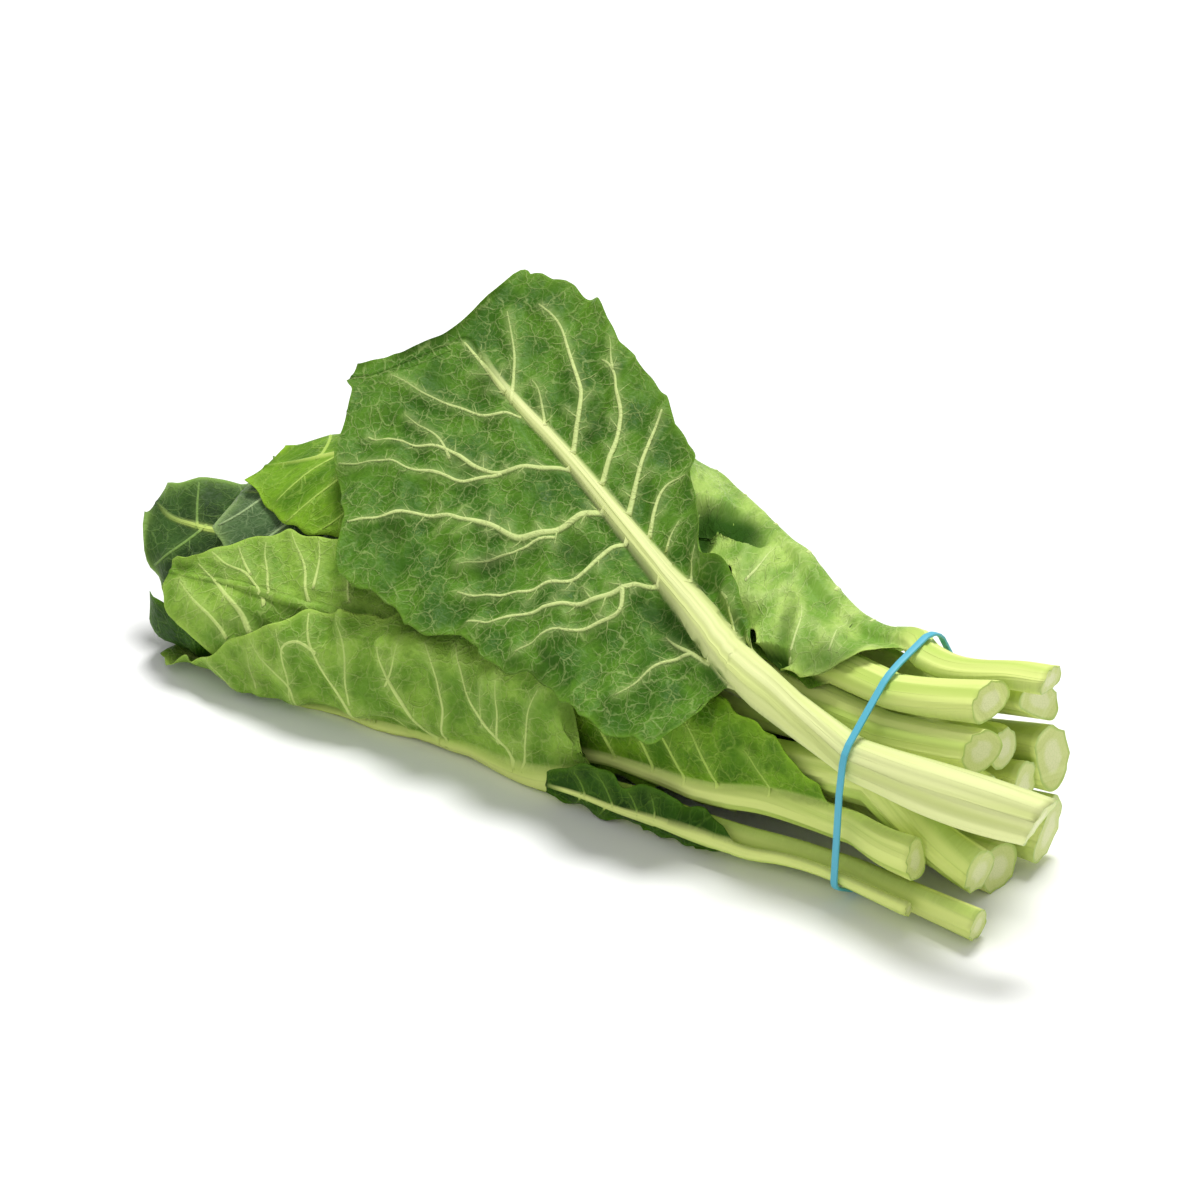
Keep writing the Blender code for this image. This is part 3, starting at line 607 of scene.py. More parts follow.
    def grid(self, xs: np.ndarray, ribs: np.ndarray, wings: np.ndarray) -> dict[str, np.ndarray]:
        """The wished grid.

        Args:
            xs: Sections along the bunch.
            ribs: Share of the rib's half width at each column.
            wings: Share of the blade's reach at each column.

        Returns:
            Angles, wished radii, half thicknesses inward and outward, distances from the rib, the rib's
            half widths and the length of the blade gone by, each with a row for every section.
        """
        rows = []
        for x in xs:
            along = min(max((self.base - x) / (self.base - self.tip), 0.0), 1.0)
            flare = 1 + (self.flare - 1) * max(x, 0.0) / self.plan.cut_x
            width, depth = (flare * (tip + (stem - tip) * (1 - along) ** taper)
                            for tip, stem, taper in zip(self.rib_tip, self.plan.stem, self.taper))
            middle, low, high = self.course(x)
            reach = ribs * width / 2 + wings * np.where(wings < 0, low, high)
            reach = reach + self.scallops(x, wings) * min(1.0, along * 6)
            angles, wish = self.section(x, middle, reach)
            bulge = depth * np.sqrt(np.maximum(0.0, 1 - np.minimum(1.0, np.abs(reach) / (width / 2)) ** 2))
            inward = self.rib_inner_share * bulge * (1 - along) ** 0.5
            rows.append((angles, wish + self.margin_lift(x, along, wings), inward,
                         (1 - self.rib_inner_share) * bulge, reach,
                         np.full_like(reach, width / 2), np.full_like(reach, along)))
        names = ("angles", "wish", "inward", "outward", "reach", "half_width", "along")
        return {name: np.array(values) for name, values in zip(names, zip(*rows))}


@dataclass
class LaidHeap:
    """How far out the leaves already laid reach, over distance and angle."""

    x_range: tuple[float, float] = (-440.0, 120.0)
    x_step: float = 2.5
    angle_step: float = 1.5
    fill: int = 12
    gap: float = 0.8
    efforts: tuple[float, ...] = (0.5, 0.5, 0.7, 1.0, 1.0)
    smoothings: int = 3

    def __post_init__(self) -> None:
        """Start with nothing laid."""
        self.columns = round((self.x_range[1] - self.x_range[0]) / self.x_step)
        self.turns = round(360.0 / self.angle_step)
        self.outer = np.zeros((self.columns, self.turns))
        across = (np.arange(self.fill) + 0.5) / self.fill
        u, v = np.meshgrid(across, across, indexing="ij")
        self.shares = (1 - np.maximum(u, v), np.maximum(u - v, 0), np.maximum(v - u, 0), np.minimum(u, v))

    @staticmethod
    def corners(values: np.ndarray) -> tuple[np.ndarray, ...]:
        """The values at the four corners of each cell of the grid."""
        return values[:-1, :-1], values[1:, :-1], values[:-1, 1:], values[1:, 1:]

    def spread(self, values: np.ndarray) -> np.ndarray:
        """The values at points spread over the two triangles of each cell."""
        pairs = zip(self.corners(values), self.shares)
        return sum(corner[..., None, None] * share for corner, share in pairs)

    def spread_round(self, angles: np.ndarray, radii: np.ndarray) -> tuple[np.ndarray, np.ndarray]:
        """Spread points over the flat triangles of a grid.

        Args:
            angles: Angles of the grid's own points.
            radii: Their radii.

        Returns:
            Angles and radii of the points spread.
        """
        across = self.spread(radii * np.cos(np.radians(angles)))
        up = self.spread(radii * np.sin(np.radians(angles)))
        return np.degrees(np.arctan2(up, across)), np.hypot(up, across)

    def cell(self, x: np.ndarray, angle: np.ndarray) -> tuple[np.ndarray, np.ndarray]:
        """Row and column of the map at each distance and angle."""
        row = np.clip(((x - self.x_range[0]) / self.x_step).astype(int), 0, self.columns - 1)
        return row, np.floor(angle / self.angle_step).astype(int) % self.turns

    def add(self, x: np.ndarray, angle: np.ndarray, radius: np.ndarray) -> None:
        """Enter points of a leaf's outer surface."""
        np.maximum.at(self.outer, self.cell(x.ravel(), angle.ravel()), radius.ravel())

    def under(self, x: np.ndarray, angle: np.ndarray) -> np.ndarray:
        """Furthest reach within a step of each point.

        Args:
            x: Places of the points along the bunch.
            angle: Their angles.

        Returns:
            The reach under each point.
        """
        wide = np.pad(self.outer, ((1, 1), (0, 0)))
        wide = np.maximum(np.maximum(wide[:-2], wide[1:-1]), wide[2:])
        wide = np.maximum(np.maximum(np.roll(wide, 1, axis=1), wide), np.roll(wide, -1, axis=1))
        return wide[self.cell(x, angle)]

    @staticmethod
    def stiffen(push: np.ndarray, rib: np.ndarray) -> np.ndarray:
        """The lifts, with one lift for the whole width of the rib in each section."""
        return np.where(rib, np.where(rib, push, 0.0).max(axis=1, keepdims=True), push)

    def lay(self, form: LeafForm) -> np.ndarray:
        """Lay a leaf on those already there.

        Args:
            form: The leaf's form.

        Returns:
            How far each point of the solid's grid is lifted outward.
        """
        xs = form.stations()
        grid = form.grid(xs, *form.steps())
        inward, outward = grid["inward"] + form.blade_half, grid["outward"] + form.blade_half
        rib = form.on_rib(grid)
        along = self.spread(np.repeat(xs[:, None], rib.shape[1], axis=1))
        squares = sum(share * share for share in self.shares)
        push = np.zeros_like(inward)
        for effort in self.efforts:
            turn, radius = self.spread_round(grid["angles"], grid["wish"] + push - inward)
            short = np.maximum(self.under(along, turn) + self.gap - radius, 0.0)
            lift = np.zeros_like(push)
            for corner, share in zip(self.corners(lift), self.shares):
                np.maximum(corner, (short * share / squares).max(axis=(-1, -2)), out=corner)
            push = self.stiffen(push + effort * lift, rib)
        for _ in range(self.smoothings):
            push = self.stiffen(np.maximum(push, blur(push)), rib)
        self.add(along, *self.spread_round(grid["angles"], grid["wish"] + push + outward))
        return push


@dataclass(frozen=True)
class FrontView:
    """The direction that the bunch is seen from, and the frame's middle.

    The tied front is the foremost place of the stems at the band, from which places in the view are
    measured. A surface counts as seen where the cosine of its angle to the view is above the facing.
    """

    azimuth: float = 35.0
    elevation: float = 30.0
    target: tuple[float, float, float] = (-117.5, -46.75, 101.5)
    distance: float = 12000.0
    lens: float = 900.0
    sensor: float = 36.0
    tied_front: tuple[float, float, float] = (0.0, -36.0, 0.0)
    facing: float = 0.05

    @property
    def right(self) -> np.ndarray:
        """Direction to the right of the picture."""
        turn = math.radians(self.azimuth)
        return np.array((math.cos(turn), math.sin(turn), 0.0))

    @property
    def back(self) -> np.ndarray:
        """Direction towards the camera."""
        turn, rise = math.radians(self.azimuth), math.radians(self.elevation)
        return np.array((math.sin(turn) * math.cos(rise), -math.cos(turn) * math.cos(rise), math.sin(rise)))

    @property
    def up(self) -> np.ndarray:
        """Direction to the top of the picture."""
        return np.cross(self.back, self.right)


FRONT_VIEW = FrontView()


TRACES = {
    # thickness of each vein, then its course in the front view: across and up from the tied front
    "top_leaf": (
        (1.9, ((-134, 192), (-141, 201), (-149, 212), (-157, 221))),
        (1.0, ((-137, 191), (-148, 191), (-158, 194), (-187, 208))),
        (1.6, ((-117, 170), (-144, 168), (-152, 170), (-160, 176), (-186, 182), (-196, 183))),
        (0.8, ((-164, 176), (-167, 182), (-172, 186), (-181, 192))),
        (1.1, ((-144, 167), (-156, 164), (-173, 170), (-183, 171), (-189, 174), (-201, 173),
               (-208, 172))),
        (2.0, ((-97, 152), (-107, 152), (-122, 144), (-130, 142), (-158, 150), (-171, 151), (-204, 149))),
        (0.9, ((-124, 142), (-160, 131))),
        (1.7, ((-91, 139), (-98, 138), (-109, 127), (-117, 124), (-136, 120), (-160, 120))),
        (1.7, ((-80, 122), (-93, 122), (-102, 118), (-127, 113), (-138, 111), (-145, 108), (-156, 108))),
        (1.2, ((-93, 120), (-93, 113), (-99, 109), (-109, 105), (-131, 100), (-137, 97))),
        (1.5, ((-60, 92), (-68, 96), (-76, 102))),
        (1.1, ((-67, 95), (-76, 93), (-84, 88), (-90, 82), (-96, 79))),
        (1.0, ((-138, 198), (-137, 216), (-140, 234))),
        (0.9, ((-124, 184), (-127, 204), (-130, 206))),
        (1.4, ((-113, 176), (-109, 201), (-118, 228), (-121, 233), (-127, 237))),
        (1.5, ((-101, 166), (-95, 183), (-94, 193), (-96, 203), (-98, 212), (-102, 214))),
        (0.7, ((-98, 212), (-99, 224))),
        (1.6, ((-90, 153), (-85, 174), (-77, 193))),
        (1.3, ((-82, 144), (-80, 154), (-77, 162), (-72, 166), (-67, 166))),
        (0.9, ((-75, 139), (-74, 143), (-70, 148))),
        (0.9, ((-66, 124), (-64, 133), (-61, 137))),
        (1.0, ((-49, 102), (-49, 116), (-52, 120))),
    ),
    "front_outer_leaf": (
        (1.3, ((-166, 59), (-170, 63), (-178, 70), (-182, 76), (-186, 81), (-188, 86), (-191, 91),
               (-192, 98))),
        (0.7, ((-188, 86), (-186, 92), (-184, 97), (-183, 102))),
        (1.3, ((-188, 61), (-198, 67), (-203, 73), (-207, 78), (-211, 84), (-215, 90), (-219, 97),
               (-220, 105), (-221, 116))),
        (0.8, ((-219, 97), (-222, 100), (-227, 101), (-231, 99), (-231, 93), (-227, 84), (-222, 76))),
        (0.6, ((-231, 98), (-233, 103), (-234, 111))),
        (1.2, ((-134, 47), (-138, 54), (-142, 60), (-146, 65), (-150, 69), (-154, 75), (-157, 81),
               (-158, 89), (-160, 99))),
        (0.8, ((-144, 61), (-144, 69), (-144, 77), (-144, 88))),
        (1.0, ((-164, 59), (-165, 69), (-166, 77), (-168, 85), (-170, 93), (-173, 101))),
        (0.9, ((-132, 48), (-132, 59), (-132, 69), (-130, 77), (-127, 82))),
        (0.7, ((-204, 77), (-205, 85), (-205, 93), (-206, 103), (-208, 115))),
        (0.8, ((-220, 76), (-226, 82), (-232, 87), (-238, 92), (-242, 98), (-246, 103))),
        (0.6, ((-242, 85), (-245, 91), (-246, 97))),
        (0.6, ((-182, 68), (-187, 71), (-194, 71))),
        (0.5, ((-150, 69), (-151, 77), (-150, 85))),
        (0.6, ((-252, 82), (-256, 88), (-262, 93), (-264, 97))),
    ),
    "front_inner_leaf": (
        (1.3, ((-244, 106), (-248, 113), (-254, 119), (-260, 127), (-265, 132))),
        (1.0, ((-238, 118), (-240, 122), (-245, 128), (-248, 130), (-252, 130), (-256, 134), (-261, 138))),
        (0.8, ((-245, 129), (-247, 133), (-249, 139))),
        (0.9, ((-236, 120), (-236, 127), (-238, 135), (-238, 143))),
        (1.0, ((-220, 118), (-221, 125), (-222, 132), (-225, 139), (-227, 145))),
        (0.9, ((-218, 124), (-216, 131), (-215, 138), (-217, 145))),
        (0.8, ((-204, 118), (-204, 126), (-206, 133), (-206, 141))),
        (0.8, ((-254, 104), (-260, 111), (-268, 118), (-273, 125))),
        (0.5, ((-254, 119), (-252, 125), (-254, 130))),
    ),
    "right_back_leaf": (
        (0.9, ((-58, 128), (-50, 130), (-44, 135), (-42, 143))),
        (0.8, ((-42, 127), (-37, 132), (-32, 138))),
        (1.0, ((-55, 121), (-46, 118), (-36, 118), (-29, 121), (-24, 128))),
        (0.9, ((-26, 94), (-24, 104), (-21, 112), (-22, 116))),
        (0.9, ((-4, 81), (-6, 91), (-9, 99), (-14, 104), (-18, 110))),
        (0.6, ((-10, 100), (-7, 106), (-2, 110))),
        (0.7, ((5, 85), (4, 93), (6, 99))),
    ),
}


@dataclass
class Veins:
    """The side veins of one leaf, as courses on its flattened blade."""

    courses: list[tuple[np.ndarray, np.ndarray]] = field(default_factory=list)
    reach: float = 9.0
    step: float = 2.0
    smoothings: int = 6
    least: float = 0.34
    full: float = 0.9

    def add(self, course: np.ndarray, start: float, end: float) -> tuple[np.ndarray, np.ndarray]:
        """Add a vein.

        Args:
            course: Points on the flattened blade, from the rib outward.
            start: Half width where it leaves the rib.
            end: Half width at its end.

        Returns:
            The smoothed course and its half widths.
        """
        run = run_along(course)
        count = max(4, int(run[-1] / self.step))
        places = np.linspace(0.0, run[-1], count)
        smooth = np.column_stack([np.interp(places, run, line) for line in course.T])
        for _ in range(self.smoothings):
            smooth[1:-1] = (smooth[:-2] + 2 * smooth[1:-1] + smooth[2:]) / 4
        self.courses.append((smooth, np.linspace(start, end, count)))
        return self.courses[-1]

    def measure(self, flat: np.ndarray, finest: float) -> tuple[np.ndarray, np.ndarray]:
        """How the veins run past each point.

        Args:
            flat: Points on the flattened blade.
            finest: Least half width of a ridge that the mesh can carry.

        Returns:
            The ridges' heights from 0 to 1, and the distance to the nearest vein.
        """
        points = flat.reshape(-1, 2)
        ridge, near = np.zeros(len(points)), np.full(len(points), self.reach)
        for course, widths in self.courses:
            if widths[0] < self.least:
                continue
            for a, b, half in zip(course[:-1], course[1:], widths):
                low, high = np.minimum(a, b) - self.reach, np.maximum(a, b) + self.reach
                found = np.flatnonzero(((points > low) & (points < high)).all(axis=1))
                way, away = b - a, points[found] - a
                share = np.clip(away @ way / max(way @ way, 1e-9), 0.0, 1.0)
                gap = np.hypot(*(away - share[:, None] * way).T)
                near[found] = np.minimum(near[found], gap)
                height = np.exp(-(gap / max(half, finest)) ** 2) * min(1.0, half / self.full)
                ridge[found] = np.maximum(ridge[found], height)
        return ridge.reshape(flat.shape[:-1]), near.reshape(flat.shape[:-1])


@dataclass(frozen=True)
class VeinHabit:
    """How side veins and their twigs grow, mostly as ranges that each vein's own sizes are drawn from.

    Attributes:
        first: Distance of the first side vein from the blade's base.
        spacing: Share of the leaf's own spacing between two side veins.
        last: Distance of the last side vein from the tip.
        least_reach: Narrowest blade that has side veins.
        spots: Number of points in its course.
        span: Share of the reach that it spans.
        lean: How far a side vein leans towards the tip.
        bend: How far it bends towards the tip, and how late it does.
        sway: Share of the reach that it sways.
        sway_turn: How far round the sway goes, in radians.
        widening: Half width of the shortest vein, and the reach that adds a millimetre to it.
        thickest: Greatest half width at the rib.
        thin: Half width at its end.
        traced: Shares of a traced vein's thickness at its start and at its end.
        root: How far a vein starts inside the rib.
        coarsest: Coarsest grid whose leaves have twigs.
        twig_first: Distance of the first twig from the start of its vein.
        twig_spacing: Distance between two twigs.
        twig_last: Distance of the last twig from the end of its vein.
        twig_turn: Angle between a twig and its vein.
        twig_length: Length of a twig.
        twig_bend: How far a twig bends, in radians.
        twig_steps: Number of steps in a twig's course.
        twig_thin: Half width that a twig starts from and the one that it ends with.
        twig_share: Share of its vein's half width that it adds at its start.
    """

    first: tuple[float, float] = (4.0, 10.0)
    spacing: tuple[float, float] = (0.75, 1.25)
    last: float = 12.0
    least_reach: float = 6.0
    spots: int = 7
    span: float = 0.97
    lean: tuple[float, float] = (0.35, 0.6)
    bend: tuple[float, float] = (0.3, 2.5)
    sway: tuple[float, float] = (-0.05, 0.05)
    sway_turn: float = 5.0
    widening: tuple[float, float] = (0.4, 95.0)
    thickest: float = 0.9
    thin: float = 0.24
    traced: tuple[float, float] = (0.78, 0.25)
    root: float = 3.0
    coarsest: float = 2.2
    twig_first: tuple[float, float] = (7.0, 11.0)
    twig_spacing: tuple[float, float] = (4.5, 9.0)
    twig_last: float = 3.0
    twig_turn: tuple[float, float] = (44.0, 66.0)
    twig_length: tuple[float, float] = (4.5, 9.5)
    twig_bend: tuple[float, float] = (-0.7, 0.3)
    twig_steps: int = 4
    twig_thin: tuple[float, float] = (0.1, 0.13)
    twig_share: float = 0.3


HABIT = VeinHabit()


@dataclass
class LeafPiece:
    """A leaf in fine detail: its blade with veins, folds and waved margin, its rib and its cut stem.

    Attributes:
        plan: The leaf's plan.
        push: How far the solid's grid was lifted.
        laid: The fine leaves already laid.
        seed: Seed of the leaf's own irregularities.
        full_from: Distance from the blade's base beyond which its widest section is sought.
        row_share: Rows that the blade has for each pitch.
        column_share: Columns that it has for each pitch.
        stem_pitch: Spacing of the rows of the stem.
        blade_half: Half thickness of the blade.
        margin_half: Half thickness at the margin.
        margin_width: Width of the pale margin.
        rib_edge: Where the rib's colour ends, in half widths, and the range over which it fades.
        slow_waves: Lengths of the slow waves along the blade.
        cross_waves: Lengths of the slow waves across it.
        low_ruffle: Lengths of the fine waves of the low margin.
        high_ruffle: Lengths of those of the high margin.
        ruffle_rise: How near the margin the fine waves keep, as a power.
        quilt: Share of the quilting that the blade sinks by, and how late it does between veins.
        thinning: Width over which the blade thins to its margin.
        clear: Least gap to the leaves below.
        swell_rise: Distance from the rib over which the slow waves rise.
        blade_rise: Distance from the rib over which the fine relief rises.
        sinking: Distance from a vein over which the blade sinks.
        trace_slack: Furthest that a traced spot may lie from the blade.
        margin_gap: Distance that veins keep from the margin.
        strip_shares: Places across a vein's strip, in half widths of the vein.
        strip_arch: Height of the strip at those places.
        strip_height: Height of a strip for each millimetre of half width, and the greatest height.
        strip_sink: How deep the edges of a strip lie under the surface.
        strip_foot: How deep its underside lies.
        strip_fade: Half width of the faintest veins, and the range over which veins gain colour.
        strip_faintest: Share of the vein's colour that the faintest veins have.
        rib_clear: Share of the rib's colour below which a strip begins.
        inner_relief: Share of the ridges that the inner face has.
        flutes: Number of half waves that the stem's flutes make from side to side.
        flute_depth: Depth of the flutes of the stem.
        cut_depth: Length of stem that the slanted cut takes up.
        slants: Range of the slant of a cut.
        lobe: Height of the small lobes of the margin.
        rough: Height of the ripples of the cut.
        cut_ripples: Lengths of those ripples, in half widths of the stem.
    """

    plan: LeafPlan
    push: np.ndarray
    laid: LaidHeap
    seed: int
    full_from: float = 15.0
    row_share: float = 1.05
    column_share: float = 0.86
    stem_pitch: float = 4.0
    blade_half: float = 0.24
    margin_half: float = 0.12
    margin_width: float = 1.9
    rib_edge: tuple[float, float] = (1.3, 0.45)
    slow_waves: tuple[float, ...] = (83.0, 47.0)
    cross_waves: tuple[float, ...] = (37.0, 23.0)
    low_ruffle: tuple[float, ...] = (31.0, 19.0, 12.0)
    high_ruffle: tuple[float, ...] = (27.0, 17.0, 11.0)
    ruffle_rise: float = 2.5
    quilt: tuple[float, float] = (0.9, 1.5)
    thinning: float = 3.0
    clear: float = 0.25
    swell_rise: float = 9.0
    blade_rise: float = 6.0
    sinking: float = 6.0
    trace_slack: float = 5.0
    margin_gap: float = 1.0
    strip_shares: tuple[float, ...] = (-1.3, -0.7, 0.0, 0.7, 1.3)
    strip_arch: tuple[float, ...] = (0.0, 0.8, 1.0, 0.8, 0.0)
    strip_height: tuple[float, float] = (0.5, 0.45)
    strip_sink: float = 0.03
    strip_foot: float = 0.14
    strip_fade: tuple[float, float] = (0.14, 0.5)
    strip_faintest: float = 0.3
    rib_clear: float = 0.7
    inner_relief: float = 0.25
    flutes: float = 4.0
    flute_depth: float = 0.085
    cut_depth: float = 14.0
    slants: tuple[float, float] = (-2.2, 2.2)
    lobe: float = 1.1
    rough: float = 0.35
    cut_ripples: tuple[float, ...] = (0.9, 0.5)

    def __post_init__(self) -> None:
        """Work the leaf out."""
        self.form = LeafForm(self.plan, scallop=self.lobe)
        self.random = np.random.default_rng(self.seed)
        self.set_out()
        self.lay_fine()
        self.trace_veins()
        self.shape_surface()

    def set_out(self) -> None:
        """Choose the fine sections and columns."""
        plan, form = self.plan, self.form
        ribs, wings = form.steps()
        stations = form.stations()
        reach = form.grid(stations[stations <= form.base - self.full_from], ribs, wings)["reach"]
        widths = np.abs(np.diff(reach, axis=1)).max(axis=0)
        places = [0.0]
        for i, width in enumerate(widths):
            count = max(2, math.ceil(width * self.column_share / plan.pitch))
            places += list(i + np.arange(1, count + 1) / count)
        self.places = np.array(places)
        index = np.arange(len(ribs))
        self.ribs, self.wings = np.interp(self.places, index, ribs), np.interp(self.places, index, wings)
        stem_rows = max(12, round((plan.cut_x - form.base) / self.stem_pitch))
        blade_rows = round((form.base - form.tip) * self.row_share / plan.pitch)
        self.xs = np.concatenate((np.linspace(plan.cut_x, form.base, stem_rows, endpoint=False),
                                  np.linspace(form.base, form.tip, blade_rows + 1)))

    def lay_fine(self) -> None:
        """Lift the fine grid as the solid was lifted, and clear of the leaves below."""
        laid = self.laid
        rows = hermite(np.column_stack((self.form.stations(), self.push)), self.xs)
        index = np.arange(self.push.shape[1])
        spread = np.array([np.interp(self.places, index, row) for row in rows])
        grid = self.form.grid(self.xs, self.ribs, self.wings)
        rib = self.form.on_rib(grid)
        lift = np.maximum(laid.stiffen(blur(np.maximum(spread, 0.0), 4), rib), 0.0)
        blade = np.clip((np.abs(grid["reach"]) - grid["half_width"]) / self.swell_rise, 0.0, 1.0)
        swell = 0.5 + 0.5 * np.clip(self.drift(-self.xs[:, None], grid["reach"]), -1.0, 1.0)
        lift = lift + blade * (self.plan.swell * swell + 0.5 * self.plan.quilting)
        # Painted shade: each hollow darkens the blade's colour by its shade share, as well as pressing the
        # blade in by its depth.
        self.painted_shade_hollow = np.zeros_like(lift)
        points = HEAP.points(self.xs, grid["angles"], grid["wish"] + lift)
        seen, facing = self.seen_from_front(points), self.faces_front(points)
        for painted_shade_hollow in self.plan.hollows:
            share = painted_shade_hollow.share(seen) * facing
            lift = lift - painted_shade_hollow.depth * share * blade
            self.painted_shade_hollow = np.maximum(self.painted_shade_hollow, painted_shade_hollow.shade * share)
        along = np.repeat(self.xs[:, None], rib.shape[1], axis=1)
        inner = grid["wish"] + lift - grid["inward"] - self.blade_half
        short = np.maximum(laid.under(along, grid["angles"]) + self.clear - inner, 0.0)
        for _ in range(3):
            short = laid.stiffen(np.maximum(short, blur(short, 3)), rib)
        lift = lift + blur(short, 2)
        self.grid = grid
        self.radii = grid["wish"] + lift
        laid.add(along, grid["angles"], self.radii + grid["outward"] + self.blade_half)

    def seen_from_front(self, points: np.ndarray) -> np.ndarray:
        """Places of points across and up the front view, from the front of the tied stems."""
        moved = HEAP.settled(points) / MM - np.array((*HEAP.shift, 0.0)) - np.array(FRONT_VIEW.tied_front)
        return np.stack((moved @ FRONT_VIEW.right, moved @ FRONT_VIEW.up), axis=-1)

    def faces_front(self, points: np.ndarray) -> np.ndarray:
        """Which points of a grid lie where the surface faces the front view."""
        return self.normals(points) @ FRONT_VIEW.back > FRONT_VIEW.facing

    def trace_veins(self) -> None:
        """Put the side veins on the flattened blade and measure how they run past each point."""
        along = np.repeat(-self.xs[:, None], len(self.places), axis=1)
        self.flat = np.stack((along, self.grid["reach"]), axis=-1)
        self.middle = HEAP.points(self.xs, self.grid["angles"], self.radii)
        self.veins = Veins()
        if self.plan.plane:
            tilt = math.radians(90.0 - self.plan.plane[0])
            self.flat = np.stack((along, self.middle[..., 1] / math.cos(tilt)), axis=-1)
        if self.plan.venation is Venation.TRACED:
            self.follow_traces()
        self.feather()
        self.ridge, self.near = self.veins.measure(self.flat, 0.75 * self.plan.pitch)

    def follow_traces(self) -> None:
        """Put the veins that were traced from the front on the part of the blade that faces it."""
        seen = self.seen_from_front(self.middle).reshape(-1, 2)
        shown = self.faces_front(self.middle).ravel()
        for thickness, course in TRACES[self.plan.name]:
            gaps = [np.where(shown, np.hypot(*(seen - spot).T), math.inf) for spot in course]
            spots = [np.argmin(gap) for gap in gaps if gap.min() < self.trace_slack]
            if len(spots) > 1:
                start, end = (thickness * share for share in HABIT.traced)
                self.branching_vein(self.flat.reshape(-1, 2)[spots], start, end)

    def branching_vein(self, course: np.ndarray, start: float, end: float) -> None:
        """Add a side vein, with the twigs that leave it in turn to each side.

        Args:
            course: Points on the flattened blade, from the rib outward.
            start: Half width where it leaves the rib.
            end: Half width at its end.
        """
        first = course[0] - course[1]
        course = np.vstack((course[0] + first / max(np.hypot(*first), 1e-6) * HABIT.root, course))
        smooth, widths = self.veins.add(course, start, end)
        if self.plan.pitch > HABIT.coarsest:
            return
        run = run_along(smooth)
        place, side = self.random.uniform(*HABIT.twig_first), self.random.choice((-1, 1))
        while place < run[-1] - HABIT.twig_last:
            i = int(np.clip(np.searchsorted(run, place), 1, len(run) - 1))
            way = smooth[i] - smooth[i - 1]
            heading = math.atan2(way[1], way[0]) + side * math.radians(self.random.uniform(*HABIT.twig_turn))
            length = self.random.uniform(*HABIT.twig_length)
            turns = heading + np.linspace(0.0, side * self.random.uniform(*HABIT.twig_bend), HABIT.twig_steps)
            steps = length / HABIT.twig_steps * np.column_stack((np.cos(turns), np.sin(turns)))
            twig = smooth[i] + np.vstack(((0.0, 0.0), np.cumsum(steps, axis=0)))
            self.veins.add(twig, HABIT.twig_share * widths[i] + HABIT.twig_thin[0], HABIT.twig_thin[1])
            place, side = place + self.random.uniform(*HABIT.twig_spacing), -side

    def feather(self) -> None:
        """Side veins that leave the rib in turn to each side and bend towards the tip."""
        base, tip = self.form.base, self.form.tip
        for side in self.plan.feathered:
            x = base - self.random.uniform(*HABIT.first)
            while x > tip + HABIT.last:
                reach = self.form.course(x)[1 if side < 0 else 2]
                if reach > HABIT.least_reach:
                    self.side_vein(x, side, reach)
                x -= self.plan.vein_spacing * self.random.uniform(*HABIT.spacing)

    def side_vein(self, x: float, side: int, reach: float) -> None:
        """Add one feathered vein, from the rib to near the margin.

        Args:
            x: Where it leaves the rib.
            side: Its side: -1 for the low one and 1 for the high one.
            reach: Distance of the margin from the rib.
        """
        t = np.linspace(0.0, 1.0, HABIT.spots)
        lean = self.random.uniform(*HABIT.lean)
        sway = self.random.uniform(*HABIT.sway) * reach
        (bend, late), (narrowest, widening) = HABIT.bend, HABIT.widening
        out = side * (1.0 + reach * HABIT.span * t)
        ahead = -x + reach * (lean * t + bend * t ** late) + sway * np.sin(t * HABIT.sway_turn)
        course = np.column_stack((ahead, out))
        self.branching_vein(course, min(HABIT.thickest, narrowest + reach / widening), HABIT.thin)

    def shape_surface(self) -> None:
        """Give the blade its thickness, raised veins, fields between them and waved margin."""
        plan, grid = self.plan, self.grid
        reach, half_width = np.abs(grid["reach"]), grid["half_width"]
        low = grid["reach"] < 0
        side_reach = np.where(low, reach[:, :1], reach[:, -1:])
        to_margin = np.minimum(side_reach - reach, np.maximum(self.xs[:, None] - self.form.tip, 0.0))
        blade = np.clip((reach - half_width) / self.blade_rise, 0.0, 1.0)
        fading = np.clip((plan.rib_end[1] - grid["along"]) / (plan.rib_end[1] - plan.rib_end[0]), 0.0, 1.0)
        self.rib = np.clip((self.rib_edge[0] - reach / half_width) / self.rib_edge[1], 0.0, 1.0) * fading
        self.margin = np.exp(-to_margin / self.margin_width) * blade
        edge = np.clip(reach / np.maximum(side_reach, 1.0), 0.0, 1.0)
        down = -self.xs
        ruffle = np.where(low, ripple(down, self.low_ruffle, self.seed)[:, None],
                          ripple(down, self.high_ruffle, self.seed + 1)[:, None])
        self.dome = blur(np.clip(self.near / self.sinking, 0.0, 1.0), 2)
        lift = plan.ruffle * edge ** self.ruffle_rise * blade * ruffle + self.raised_margin(edge, low)
        lift -= self.quilt[0] * blade * plan.quilting * self.dome ** self.quilt[1]
        normals = self.normals(self.middle)
        middle = self.middle + normals * lift[..., None]
        full = np.clip(to_margin / self.thinning, 0.0, 1.0)
        half = self.margin_half + (self.blade_half - self.margin_half) * full
        relief = plan.vein_height * self.ridge * blade
        flute = self.flute_depth * np.cos(self.ribs * math.pi * self.flutes + self.seed)
        flute = flute * (1 - edge * (edge > 0.99))
        outward = half + grid["outward"] * (1 + flute * self.rib) + relief
        self.outer = middle + normals * outward[..., None]
        self.inner = middle - normals * (half + grid["inward"] - self.inner_relief * relief)[..., None]
        self.slant_cut()
        self.raise_strips()

